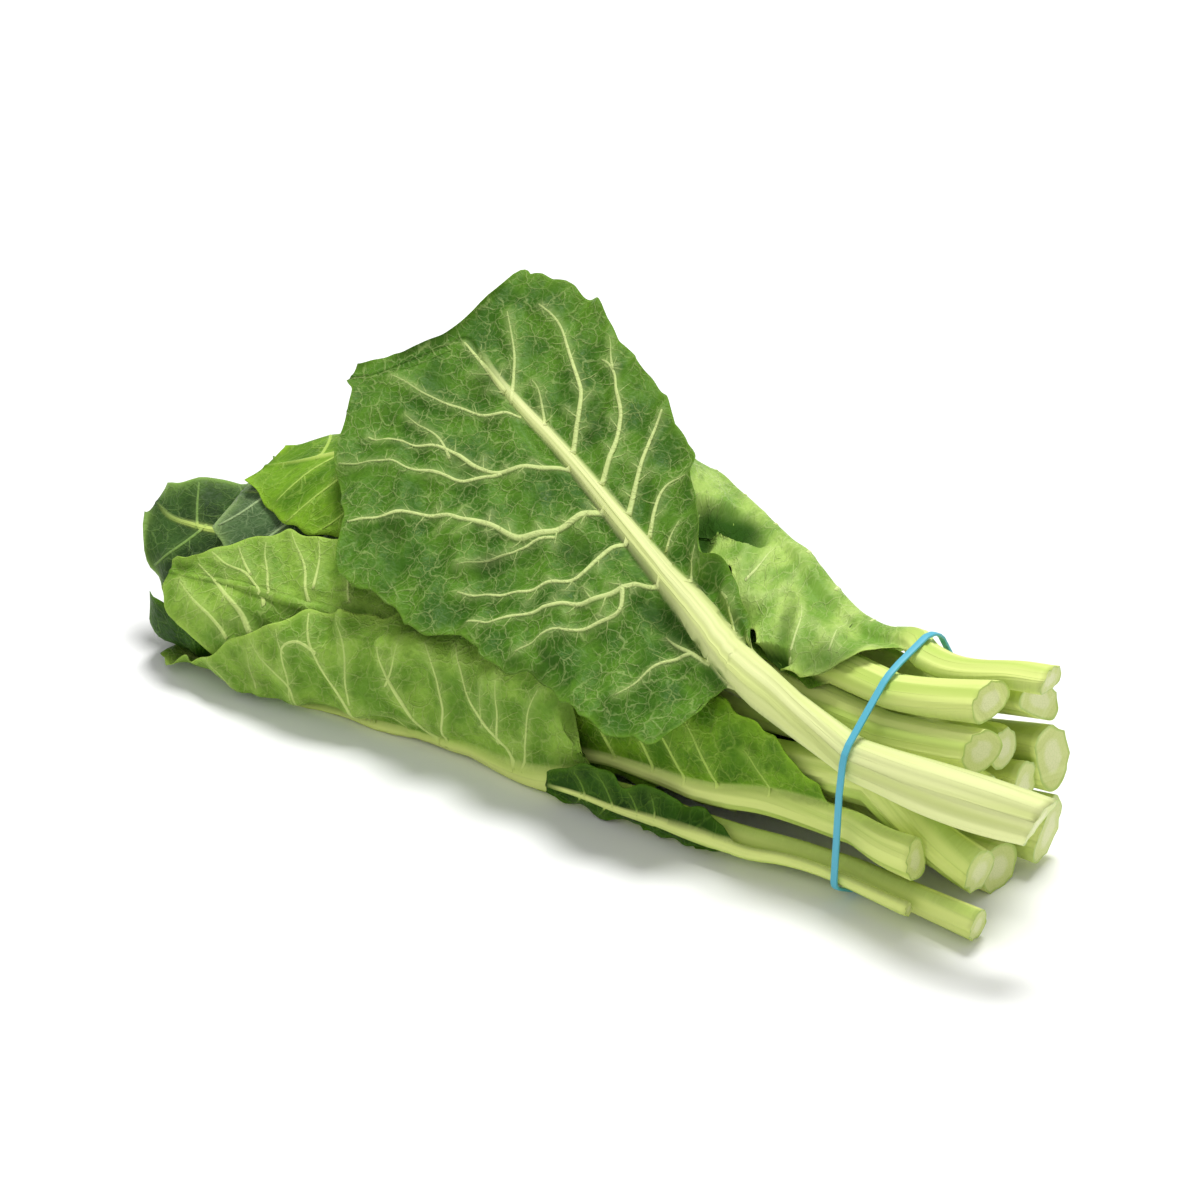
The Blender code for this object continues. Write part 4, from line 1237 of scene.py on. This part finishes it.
    def drift(self, along: np.ndarray, reach: np.ndarray) -> np.ndarray:
        """Slow waves over the blade, from about -1 to 1."""
        waves = ripple(along + 0.6 * reach, self.slow_waves, self.seed + 2)
        return 0.8 * waves + 0.5 * ripple(reach - 0.5 * along, self.cross_waves, self.seed + 3)

    def raised_margin(self, edge: np.ndarray, low: np.ndarray) -> np.ndarray:
        """Raise a stretch of the high margin from the leaf below.

        Args:
            edge: Share of the way to the margin at each point.
            low: Which points lie on the low side.

        Returns:
            The lift of each point.
        """
        centre, length, height = self.plan.raised
        swell = np.exp(-((self.xs - centre) / length) ** 2)[:, None]
        return np.where(low, 0.0, height * swell * edge ** 2)

    def at_places(self, grid: np.ndarray, places: np.ndarray) -> np.ndarray:
        """Read one of the leaf's grids at places between its points.

        Args:
            grid: Values or points, with a row for every section.
            places: Places on the flattened blade.

        Returns:
            The value or the point at each place.
        """
        row = np.interp(places[:, 0], -self.xs, np.arange(len(self.xs)))
        lower = np.minimum(row.astype(int), len(self.xs) - 2)
        each, found = np.arange(len(places)), []
        for rows in (lower, lower + 1):
            across = self.flat[rows, :, 1]
            column = np.clip((across <= places[:, 1:]).sum(axis=1) - 1, 0, across.shape[1] - 2)
            left, right = across[each, column], across[each, column + 1]
            share = np.clip((places[:, 1] - left) / np.maximum(right - left, 1e-6), 0.0, 1.0)
            share = share.reshape(-1, *(1,) * (grid.ndim - 2))
            found.append(grid[rows, column] * (1 - share) + grid[rows, column + 1] * share)
        share = (row - lower).reshape(-1, *(1,) * (grid.ndim - 2))
        return found[0] * (1 - share) + found[1] * share

    def on_blade(self, course: np.ndarray) -> int:
        """How much of a course lies on the blade, clear of its margin.

        Args:
            course: Points on the flattened blade.

        Returns:
            The number of points before the first one that is too near the margin.
        """
        rows = np.interp(course[:, 0], -self.xs, np.arange(len(self.xs))).round().astype(int)
        low, high = self.flat[rows, 0, 1] + self.margin_gap, self.flat[rows, -1, 1] - self.margin_gap
        inside = (course[:, 1] > low) & (course[:, 1] < high)
        inside &= course[:, 0] < -self.form.tip - self.margin_gap
        return len(course) if inside.all() else int(np.argmin(inside))

    def raise_strips(self) -> None:
        """Lay each vein as a thin raised strip on the blade, and the thicker ones on both of its faces."""
        normals = self.normals(self.outer)
        self.strips: list[dict[str, np.ndarray]] = []
        shares, arch = np.array(self.strip_shares), np.array(self.strip_arch)
        (steepness, highest), (faint, fade_range) = self.strip_height, self.strip_fade
        for course, widths in self.veins.courses:
            first = max(int(np.argmax(self.at_places(self.rib, course) < self.rib_clear)) - 1, 0)
            course, widths = course[first:], widths[first:]
            count = self.on_blade(course)
            if count < 4:
                continue
            course, widths = course[:count], widths[:count]
            way = np.gradient(course, axis=0)
            way /= np.maximum(np.hypot(*way.T), 1e-6)[:, None]
            beside = np.column_stack((-way[:, 1], way[:, 0]))[:, None, :]
            places = (course[:, None, :] + beside * (widths[:, None] * shares)[..., None]).reshape(-1, 2)
            normal = self.at_places(normals, places)
            height = np.minimum(widths * steepness, highest)[:, None] * arch
            height = height.reshape(-1, 1) - self.strip_sink
            gain = np.clip((widths - faint) / fade_range, 0.0, 1.0)
            strength = self.strip_faintest + (1.0 - self.strip_faintest) * gain
            for face, side in ((self.outer, 1.0), (self.inner, -1.0)):
                if side < 0.0 and widths[0] < self.veins.least:
                    continue
                points = self.at_places(face, places)
                self.strips.append({"top": points + side * normal * height,
                                    "foot": points - side * normal * self.strip_foot, "flat": places,
                                    "vein": (strength[:, None] * (arch > 0)).ravel()})

    def slant_cut(self) -> None:
        """Turn the cut out of square."""
        across, over = self.plan.slant or tuple(self.random.uniform(*self.slants, 2))
        weight = np.clip(1.0 - (self.plan.cut_x - self.xs) / self.cut_depth, 0.0, 1.0)[:, None]
        bulge = np.sqrt(np.maximum(0.0, 1.0 - self.ribs ** 2))
        across = across + self.rough * ripple(self.ribs, self.cut_ripples, self.seed + 4)
        self.outer[..., 0] += weight * (across * self.ribs + over * bulge)
        self.inner[..., 0] += weight * (across * self.ribs - over * bulge)

    @staticmethod
    def normals(points: np.ndarray) -> np.ndarray:
        """Find the directions that a surface faces.

        Args:
            points: A grid of points, with a row for every section.

        Returns:
            The outward unit normal at each point.
        """
        normal = np.cross(np.gradient(points, axis=1), np.gradient(points, axis=0))
        size = np.linalg.norm(normal, axis=-1, keepdims=True)
        normal = normal / np.maximum(size, 1e-9)
        middle = points.copy()
        middle[..., 1:] -= HEAP.line(points[:, 0, 0])[:, None, :]
        middle[..., 0] = 0.0
        sign = np.sign(np.sum(normal * middle, axis=-1, keepdims=True).sum())
        return normal * sign

    def build(self, skin: bpy.types.Material, cut: bpy.types.Material) -> bpy.types.Object:
        """Make the closed mesh.

        Args:
            skin: Finish of the blade and the stem.
            cut: Finish of the stem's cut end.

        Returns:
            The leaf's object.
        """
        rows, columns = self.grid["reach"].shape
        count = rows * columns
        bm = bmesh.new()
        bmesh.ops.create_grid(bm, x_segments=columns - 1, y_segments=rows - 1, size=1.0)
        for strip in self.strips:
            across = len(self.strip_shares)
            length = len(strip["flat"]) // across
            bmesh.ops.create_grid(bm, x_segments=across - 1, y_segments=length - 1, size=1.0)
            count += len(strip["flat"])
        spot = bm.verts.layers.int.new("spot")
        for i, vert in enumerate(bm.verts):
            vert[spot] = i
        bmesh.ops.extrude_face_region(bm, geom=bm.faces[:], use_keep_orig=True)
        outer, inner = (HEAP.settled(self.with_strips(grid.reshape(-1, 3), part)).tolist()
                        for grid, part in ((self.outer, "top"), (self.inner, "foot")))
        bm.verts.index_update()
        for i, vert in enumerate(bm.verts):
            vert.co = (outer if i < count else inner)[vert[spot]]
        bmesh.ops.recalc_face_normals(bm, faces=bm.faces)
        for face in bm.faces:
            face.smooth = True
            if all(vert[spot] < columns for vert in face.verts):
                face.material_index = 1
                face.smooth = False
        made = put_in_scene(self.plan.name + "_fine", bm, skin, cut)
        self.write_layers(made.data, count)
        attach(made, BODY)
        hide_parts(self.plan.name)
        return made

    def with_strips(self, grid: np.ndarray, part: str) -> np.ndarray:
        """The leaf's own points followed by those of its strips."""
        return np.concatenate([grid] + [strip[part] for strip in self.strips])

    def write_layers(self, mesh: bpy.types.Mesh, count: int) -> None:
        """Write the flattened places as UVs and the masks as attributes.

        Args:
            mesh: The leaf's mesh.
            count: Number of its points that lie on the outer face.
        """
        spots = np.zeros(len(mesh.vertices), dtype=np.int32)
        mesh.attributes["spot"].data.foreach_get("value", spots)
        corners = np.zeros(len(mesh.loops), dtype=np.int32)
        mesh.loops.foreach_get("vertex_index", corners)
        flat = self.with_strips(self.flat.reshape(-1, 2), "flat")
        away = self.at_places(self.grid["reach"], flat)
        disc = np.zeros((len(flat), 2))
        own = self.grid["reach"].size
        disc[:own] = np.column_stack((np.tile(self.ribs, len(self.xs)),
                                      np.tile(np.sqrt(1 - self.ribs ** 2), len(self.xs))))
        side = np.where(np.arange(len(mesh.vertices)) < count, 1.0, -1.0)
        turned = disc[spots] * np.column_stack((np.ones(len(side)), side))
        for name, places in (("flat", flat[spots] * UV_UNIT), ("cut", turned),
                             ("stem", np.column_stack((flat[:, 0], away))[spots] * UV_UNIT)):
            layer = mesh.uv_layers.new(name=name)
            layer.data.foreach_set("uv", places[corners].astype(np.float32).ravel())
        # The hollows' mask carries their painted shade into the material.
        grids = {"rib": self.rib, "margin": self.margin, "dome": self.dome, "painted_shade_hollow": self.painted_shade_hollow}
        masks = {name: self.at_places(grid, flat) for name, grid in grids.items()}
        masks["vein"] = self.with_strips(np.zeros(own), "vein")
        for name, values in masks.items():
            layer = mesh.attributes.new(name, "FLOAT", "POINT")
            layer.data.foreach_set("value", values[spots].astype(np.float32))
        mesh.attributes.remove(mesh.attributes["spot"])


class Graph:
    """A material's nodes, added one by one."""

    def __init__(self, name: str) -> None:
        """Start a material with no nodes.

        Args:
            name: Its name.
        """
        self.material = bpy.data.materials.new(name)
        self.material.use_nodes = True
        self.tree = self.material.node_tree
        self.tree.nodes.clear()

    def add(self, kind: str, settings: dict[str, object], inputs: dict[str | int, object]) -> bpy.types.Node:
        """Add a node.

        Args:
            kind: Its type.
            settings: Its own properties.
            inputs: Values for its sockets, or the sockets that feed them.

        Returns:
            The node.
        """
        node = self.tree.nodes.new(kind)
        for key, value in settings.items():
            setattr(node, key, value)
        for key, value in inputs.items():
            if isinstance(value, bpy.types.NodeSocket):
                self.tree.links.new(value, node.inputs[key])
            else:
                node.inputs[key].default_value = value
        return node

    def math(self, operation: str, *values: object) -> bpy.types.NodeSocket:
        """Result of a sum on numbers or sockets, held between 0 and 1."""
        settings = {"operation": operation, "use_clamp": True}
        return self.add("ShaderNodeMath", settings, dict(enumerate(values))).outputs[0]

    def ramp(self, value: bpy.types.NodeSocket, start: float, end: float) -> bpy.types.NodeSocket:
        """A smooth step that is 0 at start and 1 at end."""
        return self.add("ShaderNodeMapRange", {"interpolation_type": "SMOOTHSTEP"},
                        {"Value": value, "From Min": start, "From Max": end}).outputs[0]

    def mix(self, share: object, first: object, second: object) -> bpy.types.NodeSocket:
        """A blend of two colours."""
        settings = {"data_type": "RGBA", "blend_type": "MIX"}
        return self.add("ShaderNodeMix", settings, {0: share, 6: first, 7: second}).outputs[2]

    def mask(self, name: str) -> bpy.types.NodeSocket:
        """One of the mesh's own masks."""
        return self.add("ShaderNodeAttribute", {"attribute_name": name}, {}).outputs["Fac"]

    def flat(self, uv_map: str, scale: tuple[float, float, float]) -> bpy.types.NodeSocket:
        """Places on one of the mesh's UV maps, stretched."""
        uv = self.add("ShaderNodeUVMap", {"uv_map": uv_map}, {}).outputs[0]
        return self.add("ShaderNodeMapping", {}, {"Vector": uv, "Scale": scale}).outputs[0]

    def noise(self, places: bpy.types.NodeSocket, scale: float, detail: float = 3.0) -> bpy.types.NodeSocket:
        """Cloudy noise from 0 to 1."""
        return self.add("ShaderNodeTexNoise", {"noise_dimensions": "3D"},
                        {"Vector": places, "Scale": scale, "Detail": detail}).outputs["Fac"]

    def net(self, places: bpy.types.NodeSocket, scale: float, width: float) -> bpy.types.NodeSocket:
        """Lines of a net of cells: 1 on a line and 0 inside a cell."""
        cells = self.add("ShaderNodeTexVoronoi", {"voronoi_dimensions": "2D", "feature": "DISTANCE_TO_EDGE"},
                         {"Vector": places, "Scale": scale}).outputs["Distance"]
        return self.ramp(cells, width, 0.0)

    def finish(self, colour: object, roughness: object, height: object, depth: float,
               sheen: float = 0.0, level: float = 0.4) -> bpy.types.Material:
        """Add the shader.

        Args:
            colour: Colour or socket.
            roughness: Number or socket.
            height: Socket that raises the surface.
            depth: Depth of that relief in metres.
            sheen: Weight of the sheen.
            level: Strength of the shine.

        Returns:
            The material.
        """
        bump = self.add("ShaderNodeBump", {}, {"Height": height, "Distance": depth, "Strength": 1.0})
        shader = self.add("ShaderNodeBsdfPrincipled", {},
                          {"Base Color": colour, "Roughness": roughness, "Normal": bump.outputs[0],
                           "Specular IOR Level": level, "Sheen Weight": sheen, "Sheen Roughness": 0.5})
        self.add("ShaderNodeOutputMaterial", {}, {"Surface": shader.outputs[0]})
        return self.material


@dataclass(frozen=True)
class LeafFinish:
    """Colours of a leaf, which are display colours from 0 to 255, and its gloss."""

    name: str
    blade: tuple[int, int, int]
    shade: tuple[int, int, int]
    vein: tuple[int, int, int]
    margin: tuple[int, int, int]
    rib: tuple[int, int, int] = (222, 234, 138)
    streak: tuple[int, int, int] = (164, 196, 72)
    groove: tuple[int, int, int] = (106, 146, 34)
    net_share: float = 0.28
    halo_share: float = 0.2
    margin_share: float = 0.75
    spot_tint: float = 0.76
    # Tint of the painted shade in the hollows, as shares of the shade colour.
    painted_shade_tint: tuple[float, float, float] = (0.3, 0.46, 0.1)
    bloom: float = 0.0
    roughness: float = 0.5
    shine: float = 0.12
    relief: float = 0.0005

    def material(self) -> bpy.types.Material:
        """Make the finish of a blade and its stem, laid out in millimetres of the flattened leaf.

        Returns:
            The material.
        """
        graph = Graph(self.name)
        places = graph.flat("flat", (1 / UV_UNIT,) * 3)
        lines = self.net(graph, places)
        specks = graph.ramp(graph.noise(places, 0.6, 3.0), 0.35, 0.75)
        halo = graph.math("MULTIPLY", graph.ramp(graph.mask("dome"), 0.6, 0.05), self.halo_share)
        colour = self.blade_colour(graph, places, specks)
        colour = graph.mix(graph.math("MULTIPLY", lines, self.net_share), colour, srgb(*self.vein))
        colour = graph.mix(halo, colour, srgb(*self.vein))
        rim = graph.math("MULTIPLY", graph.mask("margin"), self.margin_share)
        colour = graph.mix(rim, colour, srgb(*self.margin))
        colour = graph.mix(graph.mask("vein"), colour, srgb(*self.vein))
        # Painted shade: the blade is darkened towards a deep green where the hollows lie.
        deep = tuple(int(channel * part) for channel, part in zip(self.shade, self.painted_shade_tint))
        colour = graph.mix(graph.mask("painted_shade_hollow"), colour, srgb(*deep))
        stem, stripes = self.stem_colour(graph)
        colour = graph.mix(graph.mask("rib"), colour, stem)
        roughness = graph.add("ShaderNodeMapRange", {}, {"Value": specks, "To Min": self.roughness - 0.06,
                                                         "To Max": self.roughness + 0.12}).outputs[0]
        raised = graph.math("ADD", graph.math("MULTIPLY", lines, 0.5), graph.math("MULTIPLY", specks, 0.3))
        stripes = graph.math("MULTIPLY", stripes, 0.35)
        raised = graph.add("ShaderNodeMix", {"data_type": "FLOAT"},
                           {0: graph.mask("rib"), 2: raised, 3: stripes}).outputs[0]
        roughness = graph.math("ADD", roughness, graph.math("MULTIPLY", graph.mask("painted_shade_hollow"), 0.35))
        return graph.finish(colour, roughness, raised, self.relief, self.bloom, self.shine)

    def net(self, graph: Graph, places: bpy.types.NodeSocket) -> bpy.types.NodeSocket:
        """Draw the fine net of veins between the side veins.

        Args:
            graph: The material's nodes.
            places: Places on the flattened blade.

        Returns:
            1 on a vein and 0 between veins.
        """
        bent = graph.add("ShaderNodeTexNoise", {},
                         {"Vector": places, "Scale": 0.2, "Detail": 3.0}).outputs["Color"]
        warped = graph.add("ShaderNodeVectorMath", {"operation": "MULTIPLY_ADD"},
                           {0: bent, 1: (6.0, 6.0, 0.0), 2: places}).outputs[0]
        coarse, fine = graph.net(warped, 0.14, 0.08), graph.net(warped, 0.34, 0.14)
        lines = graph.math("MAXIMUM", coarse, graph.math("MULTIPLY", fine, 0.5))
        patches = graph.ramp(graph.noise(places, 0.08, 2.0), 0.25, 0.55)
        return graph.math("MULTIPLY", lines, patches)

    def blade_colour(self, graph: Graph, places: bpy.types.NodeSocket,
                     specks: bpy.types.NodeSocket) -> bpy.types.NodeSocket:
        """Mix the cloudy greens of the blade.

        Args:
            graph: The material's nodes.
            places: Places on the flattened blade.
            specks: Fine cloudy noise.

        Returns:
            The colour.
        """
        blotches = graph.ramp(graph.noise(places, 0.055, 4.0), 0.38, 0.64)
        spots = graph.ramp(graph.noise(places, 0.16, 3.0), 0.5, 0.7)
        deep = tuple(int(channel * self.spot_tint) for channel in self.shade)
        colour = graph.mix(blotches, srgb(*self.blade), srgb(*self.shade))
        colour = graph.mix(graph.math("MULTIPLY", spots, 0.4), colour, srgb(*deep))
        return graph.mix(graph.math("MULTIPLY", specks, 0.3), colour, srgb(*self.shade))

    def stem_colour(self, graph: Graph) -> tuple[bpy.types.NodeSocket, bpy.types.NodeSocket]:
        """Mix the colour of the stem and the midrib.

        Args:
            graph: The material's nodes.

        Returns:
            The colour, and the threads that run along the stem.
        """
        wide = graph.noise(graph.flat("stem", (0.5, 17.0, 1.0)), 1.0, 2.0)
        narrow = graph.noise(graph.flat("stem", (1.0, 90.0, 1.0)), 1.0, 2.0)
        stripes = graph.ramp(wide, 0.4, 0.66)
        threads = graph.ramp(narrow, 0.5, 0.72)
        stem = graph.mix(graph.math("MULTIPLY", stripes, 0.6), srgb(*self.rib), srgb(*self.streak))
        return graph.mix(graph.math("MULTIPLY", threads, 0.07), stem, srgb(*self.groove)), threads


FINISHES = (
    LeafFinish("top", (86, 130, 34), (56, 98, 20), (200, 216, 138), (108, 148, 44), (226, 232, 164),
               (202, 216, 122), (160, 186, 80)),
    LeafFinish("pale", (140, 178, 66), (98, 140, 38), (198, 218, 128), (168, 202, 84)),
    LeafFinish("right", (172, 202, 100), (118, 160, 58), (212, 228, 150), (192, 218, 110)),
    LeafFinish("fresh", (114, 158, 32), (70, 114, 12), (176, 206, 94), (148, 192, 48)),
    LeafFinish("mid", (92, 134, 36), (60, 98, 20), (156, 184, 88), (120, 160, 50)),
    LeafFinish("grey", (74, 104, 56), (48, 78, 34), (158, 182, 126), (156, 188, 106),
               bloom=0.2, roughness=0.58),
    LeafFinish("dusky", (52, 86, 26), (32, 60, 12), (124, 158, 76), (150, 190, 88),
               bloom=0.1, roughness=0.55),
    LeafFinish("dark", (44, 84, 4), (26, 58, 2), (112, 150, 54), (84, 128, 24)),
)


@dataclass(frozen=True)
class CutEndFinish:
    """The face of a cut stem: a pale ring of flesh round a lighter core, with a green rim."""

    flesh: tuple[int, int, int] = (206, 216, 132)
    core: tuple[int, int, int] = (222, 226, 168)
    rim: tuple[int, int, int] = (172, 196, 92)
    roughness: float = 0.42
    relief: float = 0.0003

    def material(self) -> bpy.types.Material:
        """Make the finish, drawn on the disc of the cut.

        Returns:
            The material.
        """
        graph = Graph("cut_end")
        disc = graph.flat("cut", (1.0, 1.0, 1.0))
        away = graph.add("ShaderNodeVectorMath", {"operation": "LENGTH"}, {0: disc}).outputs["Value"]
        dots = graph.net(disc, 7.0, 0.12)
        colour = graph.mix(graph.ramp(away, 0.35, 0.62), srgb(*self.core), srgb(*self.flesh))
        colour = graph.mix(graph.math("MULTIPLY", dots, 0.25), colour, srgb(*self.rim))
        colour = graph.mix(graph.ramp(away, 0.84, 0.97), colour, srgb(*self.rim))
        return graph.finish(colour, self.roughness, graph.noise(disc, 9.0), self.relief)


@dataclass(frozen=True)
class BandFinish:
    """Blue rubber."""

    colour: tuple[int, int, int] = (84, 176, 200)
    worn: tuple[int, int, int] = (104, 190, 206)
    roughness: float = 0.5
    relief: float = 0.00008

    def material(self) -> bpy.types.Material:
        """Make the finish of the band.

        Returns:
            The material.
        """
        graph = Graph("blue_rubber")
        places = graph.add("ShaderNodeTexCoord", {}, {}).outputs["Object"]
        clouds = graph.math("MULTIPLY", graph.noise(places, 160.0), 0.3)
        shade = graph.mix(clouds, srgb(*self.colour), srgb(*self.worn))
        return graph.finish(shade, self.roughness, graph.noise(places, 900.0), self.relief)


@dataclass
class Foliage:
    """All the leaves of the bunch."""

    plans: tuple[LeafPlan, ...] = PLANS

    def build(self) -> None:
        """Lay the leaves from the inside out and make each one."""
        coarse, fine = LaidHeap(), LaidHeap()
        skins = {finish.name: finish.material() for finish in FINISHES}
        cut = CutEndFinish().material()
        for number, plan in enumerate(self.plans):
            push = coarse.lay(LeafForm(plan))
            piece = LeafPiece(plan, push, fine, SEED + 10 * number)
            made = piece.build(skins[plan.finish], cut)
            LOG.info("%s: %d by %d spots, %d veins, %d faces", plan.name, *piece.rib.shape,
                     len(piece.veins.courses), len(made.data.polygons))


@dataclass
class RubberBand:
    """The band round the stems, rounded from its solid."""

    rounding: float = 0.35
    merge: float = 0.02
    flat_within: float = 1.0
    sharp_above: float = 50.0

    def build(self, frame: dict[str, object]) -> None:
        """Make the band from a copy of its solid.
        """
        bm = bmesh.new()
        bm.from_mesh(frame["nodes"]["rubber_band"].data)
        bmesh.ops.remove_doubles(bm, verts=bm.verts, dist=self.merge * MM)
        bmesh.ops.dissolve_limit(bm, angle_limit=math.radians(self.flat_within), verts=bm.verts,
                                 edges=bm.edges)
        sharp = [edge for edge in bm.edges if len(edge.link_faces) == 2
                 and edge.calc_face_angle() > math.radians(self.sharp_above)]
        bmesh.ops.bevel(bm, geom=sharp, offset=self.rounding * MM, offset_type="OFFSET", segments=2,
                        profile=0.5, affect="EDGES", material=-1, clamp_overlap=True)
        for face in bm.faces:
            face.smooth = True
        band = put_in_scene("rubber_band_round", bm, BandFinish().material())
        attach(band, BODY)
        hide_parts("rubber_band")
        LOG.info("rubber band: %d faces", len(band.data.polygons))


@dataclass(frozen=True)
class Lamp:
    """A far, wide and soft lamp."""

    name: str
    towards: tuple[float, float, float]
    strength: float
    spread: float

    def build(self) -> None:
        """Add the lamp."""
        data = bpy.data.lights.new(self.name, "SUN")
        data.energy, data.angle = self.strength, math.radians(self.spread)
        made = bpy.data.objects.new(self.name, data)
        made.rotation_euler = Vector(self.towards).to_track_quat("Z", "Y").to_euler()
        bpy.context.scene.collection.objects.link(made)


@dataclass
class Studio:
    """A pale floor, soft lights and the camera."""

    floor_size: float = 6000.0
    floor_colour: tuple[int, int, int] = (248, 248, 247)
    world: float = 0.42
    lamps: tuple[Lamp, ...] = (Lamp("key", (-0.1, 0.36, 1.0), 2.95, 22.0),
                               Lamp("fill", (0.3, -1.0, 0.5), 0.5, 70.0))

    def build(self) -> None:
        """Set up the studio."""
        self.floor()
        world = bpy.data.worlds.new("studio")
        world.use_nodes = True
        background = world.node_tree.nodes["Background"]
        background.inputs["Color"].default_value = (1.0, 1.0, 1.0, 1.0)
        background.inputs["Strength"].default_value = self.world
        bpy.context.scene.world = world
        for lamp in self.lamps:
            lamp.build()
        self.camera()
        bpy.context.scene.view_settings.view_transform = "Standard"

    def floor(self) -> None:
        """Lay the pale floor."""
        bm = bmesh.new()
        bmesh.ops.create_grid(bm, x_segments=1, y_segments=1, size=self.floor_size * MM / 2)
        paper = Graph("paper")
        shader = paper.add("ShaderNodeBsdfPrincipled", {},
                           {"Base Color": srgb(*self.floor_colour), "Roughness": 0.9})
        paper.add("ShaderNodeOutputMaterial", {}, {"Surface": shader.outputs[0]})
        floor = put_in_scene("floor", bm, paper.material)

    def camera(self) -> None:
        """Add the camera at the view of the front."""
        data = bpy.data.cameras.new("camera")
        data.lens, data.sensor_width = FRONT_VIEW.lens, FRONT_VIEW.sensor
        data.clip_start, data.clip_end = 1.0, 40.0
        camera = bpy.data.objects.new("camera", data)
        back = Vector(FRONT_VIEW.back.tolist())
        target = Vector(FRONT_VIEW.target) + Vector((*HEAP.shift, 0.0))
        camera.location = (target + back * FRONT_VIEW.distance) * MM
        camera.rotation_euler = back.to_track_quat("Z", "Y").to_euler()
        bpy.context.scene.collection.objects.link(camera)
        bpy.context.scene.camera = camera


def main() -> None:
    """Build the bunch and its studio in order."""
    logging.basicConfig(level=logging.INFO, format="%(name)s: %(message)s")
    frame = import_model()
    Foliage().build()
    RubberBand().build(frame)
    Studio().build()


if __name__ == "__main__":
    main()
